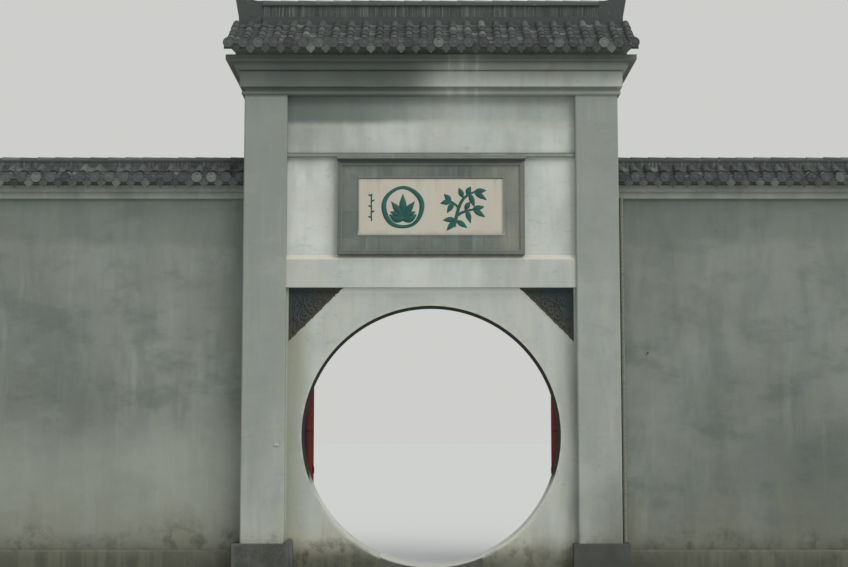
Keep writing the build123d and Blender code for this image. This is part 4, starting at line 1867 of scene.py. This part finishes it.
@dataclass
class PlankDoor:
    """One leaf of the door, standing open: planks, ledges, pivot post, studs and a ring pull."""

    gate: Gate
    side: Side
    plank_count: int = 8
    gap: float = 0.003
    ledge_count: int = 5
    ledge_height: float = 0.11
    ledge_margin: float = 0.12
    ledge_thickness: float = 0.034
    thickness: float = 0.05
    post_radius: float = 0.036
    pivot_y: float = 0.1
    pin_radius: float = 0.022
    pin_top: float = 0.05
    pin_foot: float = 0.034
    tongue: float = 0.012
    tongue_short: float = 0.01
    plank_uneven: float = 0.002
    plank_edge: float = 0.004
    ledge_edge: float = 0.007
    pin_edge: float = 0.003
    stud_radius: float = 0.013
    studs_across: int = 8
    pull_height: float = 1.12
    pull_inset: float = 0.17
    plate_radius: float = 0.052
    plate_thickness: float = 0.004
    plate_step: float = 0.003
    plate_rims: tuple[float, float] = (0.02, 0.018)
    ring_radius: float = 0.04
    ring_thickness: float = 0.0045
    ring_out: float = 0.0095
    ring_drop: float = 0.042
    body: str = field(init=False)
    node: str = field(init=False)
    bottom: float = field(init=False)
    top: float = field(init=False)
    far: float = field(init=False)
    pivot_x: float = field(init=False)

    def __post_init__(self) -> None:
        """Read the leaf's box."""
        self.body = f"{self.side.word}_door"
        self.node = f"{self.side.word}_door_leaf"
        low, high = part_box(self.node)
        self.bottom = low.z + self.pin_foot
        self.top = high.z - self.pin_top
        self.far = high.y
        inward = low.x if self.side is Side.RIGHT else high.x
        self.pivot_x = inward + self.side.value * self.post_radius

    def board(
        self, name: str, near: float, far: float, low: tuple[float, float], high: tuple[float, float]
    ) -> Piece:
        """Add a board of the leaf.

        Args:
            name: Its name.
            near: Distance of one face outwards of the pivot.
            far: Distance of the other face.
            low: Its lowest Y and Z.
            high: Its highest Y and Z.

        Returns:
            The board.
        """
        ends = sorted((self.pivot_x + near * self.side.value, self.pivot_x + far * self.side.value))
        return Bench.block(name, (ends[0], *low), (ends[1], *high))

    def ledge_z(self, index: int, lift: float) -> float:
        """Give the height of a ledge's underside, or of a place on it."""
        span = self.top - self.bottom - 2 * self.ledge_margin - self.ledge_height
        return self.bottom + self.ledge_margin + lift + span * index / (self.ledge_count - 1)

    def planks(self) -> Piece:
        """Model the upright planks with softened edges, the tongue between them and the pivot post.

        Returns:
            The leaf without its ledges.
        """
        rng = random.Random(11 + self.side.value)
        width = (self.far - self.pivot_y) / self.plank_count
        parts = []
        for index in range(self.plank_count):
            wobble = rng.uniform(0, self.plank_uneven)
            start = self.pivot_y + width * index + self.gap / 2 if index else self.pivot_y
            end = self.pivot_y + width * (index + 1) - self.gap / 2
            high = (end, self.top - rng.uniform(0, 2 * self.plank_uneven))
            near = wobble - self.thickness / 2
            parts.append(self.board("plank", near, self.thickness / 2, (start, self.bottom), high))
        low = (self.pivot_y, self.bottom + self.tongue_short)
        high = (self.far - 2 * self.tongue_short, self.top - self.tongue_short)
        parts.append(self.board("tongue", -self.tongue / 2, self.tongue / 2, low, high))
        middle = (self.pivot_x, self.pivot_y, (self.bottom + self.top) / 2)
        parts.append(Bench.rod("post", middle, self.post_radius, self.top - self.bottom, sides=32))
        return Bench.soften(parts, f"{self.body}_planks", self.plank_edge)

    def ledges(self) -> Piece:
        """Model the ledges across the back of the planks.

        Returns:
            The ledges as one piece.
        """
        parts = []
        near = self.thickness / 2
        for index in range(self.ledge_count):
            low = (self.pivot_y + self.ledge_margin, self.ledge_z(index, 0))
            high = (self.far - self.ledge_margin, low[1] + self.ledge_height)
            parts.append(self.board("ledge", near, near + self.ledge_thickness, low, high))
        return Bench.soften(parts, f"{self.body}_ledges", self.ledge_edge)

    def pins(self) -> Piece:
        """Model the two timber pins that the leaf turns on.

        Returns:
            The pins as one piece.
        """
        upper = (self.top + self.pin_top / 2, self.pin_top)
        lower = (self.bottom - self.pin_foot / 2, self.pin_foot)
        pins = [
            Bench.rod("pin", (self.pivot_x, self.pivot_y, z), self.pin_radius, length)
            for z, length in (upper, lower)
        ]
        return Bench.soften(pins, f"{self.body}_pins", self.pin_edge, 1)

    def face_x(self) -> float:
        """Give the X of the face towards the opening."""
        return self.pivot_x - self.side.value * self.thickness / 2

    def studs(self) -> Piece:
        """Model the rows of domed studs that hold the ledges, on the face towards the opening.

        Returns:
            The studs as one piece.
        """
        stud = Bench.dome("stud", (0, 0, 0), (self.stud_radius * 0.4, self.stud_radius, self.stud_radius))
        Bench.cut(stud, lambda centre, normal: centre.x * self.side.value > 0.001)
        Bench.smooth(stud, 60)
        reach = self.far - self.pivot_y - 2 * self.ledge_margin
        places = []
        for row in range(self.ledge_count):
            for column in range(self.studs_across):
                y = self.pivot_y + self.ledge_margin + reach * (column + 0.5) / self.studs_across
                z = self.ledge_z(row, self.ledge_height / 2)
                places.append(Matrix.Translation((self.face_x(), y, z)))
        return Bench.repeat(f"{self.body}_studs", stud, places, random.Random(3))

    def pull(self) -> Piece:
        """Model the ring pull on its round plate, near the edge where the leaves meet.

        Returns:
            The pull.
        """
        y = self.far - self.pull_inset
        towards = -self.side.value
        centre = (self.face_x() + towards * self.plate_thickness / 2, y, self.pull_height)
        plate = Bench.rod("plate", centre, self.plate_radius, self.plate_thickness, Axis.X, 32)
        steps = [(width, (towards * self.plate_step, 0, 0)) for width in self.plate_rims]
        Bench.terrace(plate, lambda place, normal: normal.x * towards > 0.9, steps)
        hang = (self.face_x() + towards * self.ring_out, y, self.pull_height - self.ring_drop)
        shape = {"major_radius": self.ring_radius, "minor_radius": self.ring_thickness}
        steps = {"major_segments": 36, "minor_segments": 10}
        ring = Bench.add("ring", "torus", location=hang, rotation=Axis.X.value, **shape, **steps)
        return Bench.smooth(Bench.join([plate, ring], f"{self.body}_ring_pull"), 40)

    def build(self) -> None:
        """Build the leaf and hang its parts on its body."""
        for piece in (self.planks(), self.ledges(), self.pins()):
            self.gate.keep(piece, "red_paint", "red_timber", self.body, [self.node])
        for piece in (self.studs(), self.pull()):
            self.gate.keep(piece, "red_paint", "red_timber", self.body)


@dataclass
class PipeFittings:
    """Collars and wall straps of the slim pipe beside the right pilaster."""

    gate: Gate
    count: int = 3
    first: float = 0.55
    step: float = 1.2
    collar_height: float = 0.07
    collar_proud: float = 0.005
    edge: float = 0.003
    strap_above: float = 0.12
    strap_height: float = 0.03
    strap_proud: float = 0.003
    ear_half: float = 0.006
    ear_reach: float = 0.8

    def build(self) -> None:
        """Fit the collars and straps."""
        low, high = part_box("right_downpipe")
        x = (low.x + high.x) / 2
        y = (low.y + high.y) / 2
        radius = (high.x - low.x) / 2
        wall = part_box("right_side_wall")[0].y
        half = self.strap_height / 2
        parts = []
        for index in range(self.count):
            z = low.z + self.first + self.step * index
            collar = Bench.rod("collar", (x, y, z), radius + self.collar_proud, self.collar_height, sides=28)
            parts.append(Bench.bevel(collar, self.edge))
            z += self.strap_above
            strap = Bench.rod("strap", (x, y, z), radius + self.strap_proud, self.strap_height, sides=28)
            parts.append(strap)
            near = (x - self.ear_half, y + radius * self.ear_reach, z - half)
            parts.append(Bench.block("ear", near, (x + self.ear_half, wall, z + half)))
        self.gate.keep(Bench.smooth(Bench.join(parts, "downpipe_fittings")), "pipe_paint", "pipe_iron")


@dataclass
class WallPins:
    """An old iron pin in the garden wall and a dab of plaster on the left pilaster."""

    gate: Gate
    pin_radius: float = 0.009
    pin_length: float = 0.05
    pin_rim: float = 0.3
    pin_dome: float = 0.004
    proud: float = 0.022
    pin_place: tuple[float, float] = (0.335, 2.39)
    lump_place: tuple[float, float] = (0.384, 1.383)
    lump_size: Point = (0.034, 0.014, 0.022)

    def build(self) -> None:
        """Drive the pin in and throw the dab on."""
        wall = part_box("right_side_wall")[0]
        across, z = self.pin_place
        centre = (wall.x + across, wall.y - self.proud + self.pin_length / 2, z)
        pin = Bench.rod("garden_wall_pin", centre, self.pin_radius, self.pin_length, Axis.Y, 12)
        steps = [(self.pin_radius * self.pin_rim, (0, -self.pin_dome, 0))]
        Bench.terrace(pin, lambda place, normal: normal.y < -0.9, steps)
        self.gate.keep(Bench.smooth(pin, 40), "door_iron", "pipe_iron")
        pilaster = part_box("left_pilaster")[0]
        across, z = self.lump_place
        lump = Bench.dome("pilaster_lump", (pilaster.x + across, pilaster.y, z), self.lump_size, 16)
        self.gate.keep(Bench.smooth(lump, 60), "moon_plaster", "pilaster_plaster")


@dataclass
class Studio:
    """Pale floor, soft light and the camera at the photograph's angle."""

    eye_height: float = 1.47
    distance: float = 17.0
    offset_x: float = -0.078
    tilt_up: float = 5.6
    lens: float = 66.4
    sensor: float = 36.0
    floor_size: float = 600.0
    sun_strength: float = 1.6
    sun_angle: float = 38.0
    sun_colour: Colour = (1.0, 0.985, 0.95)
    sun_aim: Point = (-0.62, 0.66, -0.72)
    sky: Colour = (0.94, 0.98, 1.0)
    sky_strength: float = 0.73
    backdrop: Colour = shade(206, 207, 204)

    def floor(self) -> None:
        """Lay the floor, which isn't part of the object."""
        floor = Bench.add("studio_floor", "plane", size=self.floor_size, location=(0, 0, 0))
        tree = ShaderTree("studio_floor", shade(205, 206, 203))
        tree.coat(tree.noise(0.4, 2) * 0.2, shade(200, 201, 198))
        floor.data.materials.append(tree.close(0.9))

    def lights(self) -> None:
        """Hang one broad key light to the right and fill with the world, which shows the backdrop."""
        lamp = bpy.data.lights.new("key", "SUN")
        lamp.energy = self.sun_strength
        lamp.angle = math.radians(self.sun_angle)
        lamp.color = self.sun_colour
        key = bpy.data.objects.new("key", lamp)
        key.rotation_euler = Vector(self.sun_aim).to_track_quat("-Z", "Y").to_euler()
        bpy.context.scene.collection.objects.link(key)
        world = bpy.data.worlds.new("studio")
        bpy.context.scene.world = world
        world.use_nodes = True
        tree = NodeTree(world.node_tree)
        rays = tree.node("LightPath").outputs
        seen = Signal(tree, rays["Is Camera Ray"])
        for ray in ("Is Glossy Ray", "Is Transmission Ray"):
            seen = seen.most(rays[ray])
        mix = {0: seen}
        for socket, (colour, strength) in enumerate(((self.sky, self.sky_strength), (self.backdrop, 1.0)), 1):
            mix[socket] = tree.node("Background", {"Color": (*colour, 1), "Strength": strength}).outputs[0]
        tree.node("OutputWorld", {"Surface": tree.node("MixShader", mix).outputs[0]})

    def camera(self, wall_front: float) -> None:
        """Stand the camera where the photograph was taken.

        Args:
            wall_front: Y of the face of the moon wall, which the distance is measured from.
        """
        data = bpy.data.cameras.new("camera")
        data.lens = self.lens
        data.sensor_width = self.sensor
        camera = bpy.data.objects.new("camera", data)
        camera.location = (self.offset_x, wall_front - self.distance, self.eye_height)
        camera.rotation_euler = (math.radians(90 + self.tilt_up), 0, 0)
        bpy.context.scene.collection.objects.link(camera)
        bpy.context.scene.camera = camera

    def build(self, wall_front: float) -> None:
        """Set up the whole studio.

        Args:
            wall_front: Y of the face of the moon wall.
        """
        self.floor()
        self.lights()
        self.camera(wall_front)
        bpy.context.scene.view_settings.view_transform = "Standard"


def main() -> None:
    """Build every sub-assembly in order and report each piece."""
    logging.basicConfig(level=logging.INFO, format="%(message)s")
    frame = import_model()
    gate = Gate()
    Finishes(gate).build()
    Masonry(gate).build(frame["nodes"])
    Roofs(gate).build()
    SpandrelCarving(gate).build()
    PlaqueOrnament(gate).build()
    for side in Side:
        PlankDoor(gate, side).build()
    PipeFittings(gate).build()
    WallPins(gate).build()
    Studio().build(gate.wall_front)


if __name__ == "__main__":
    main()
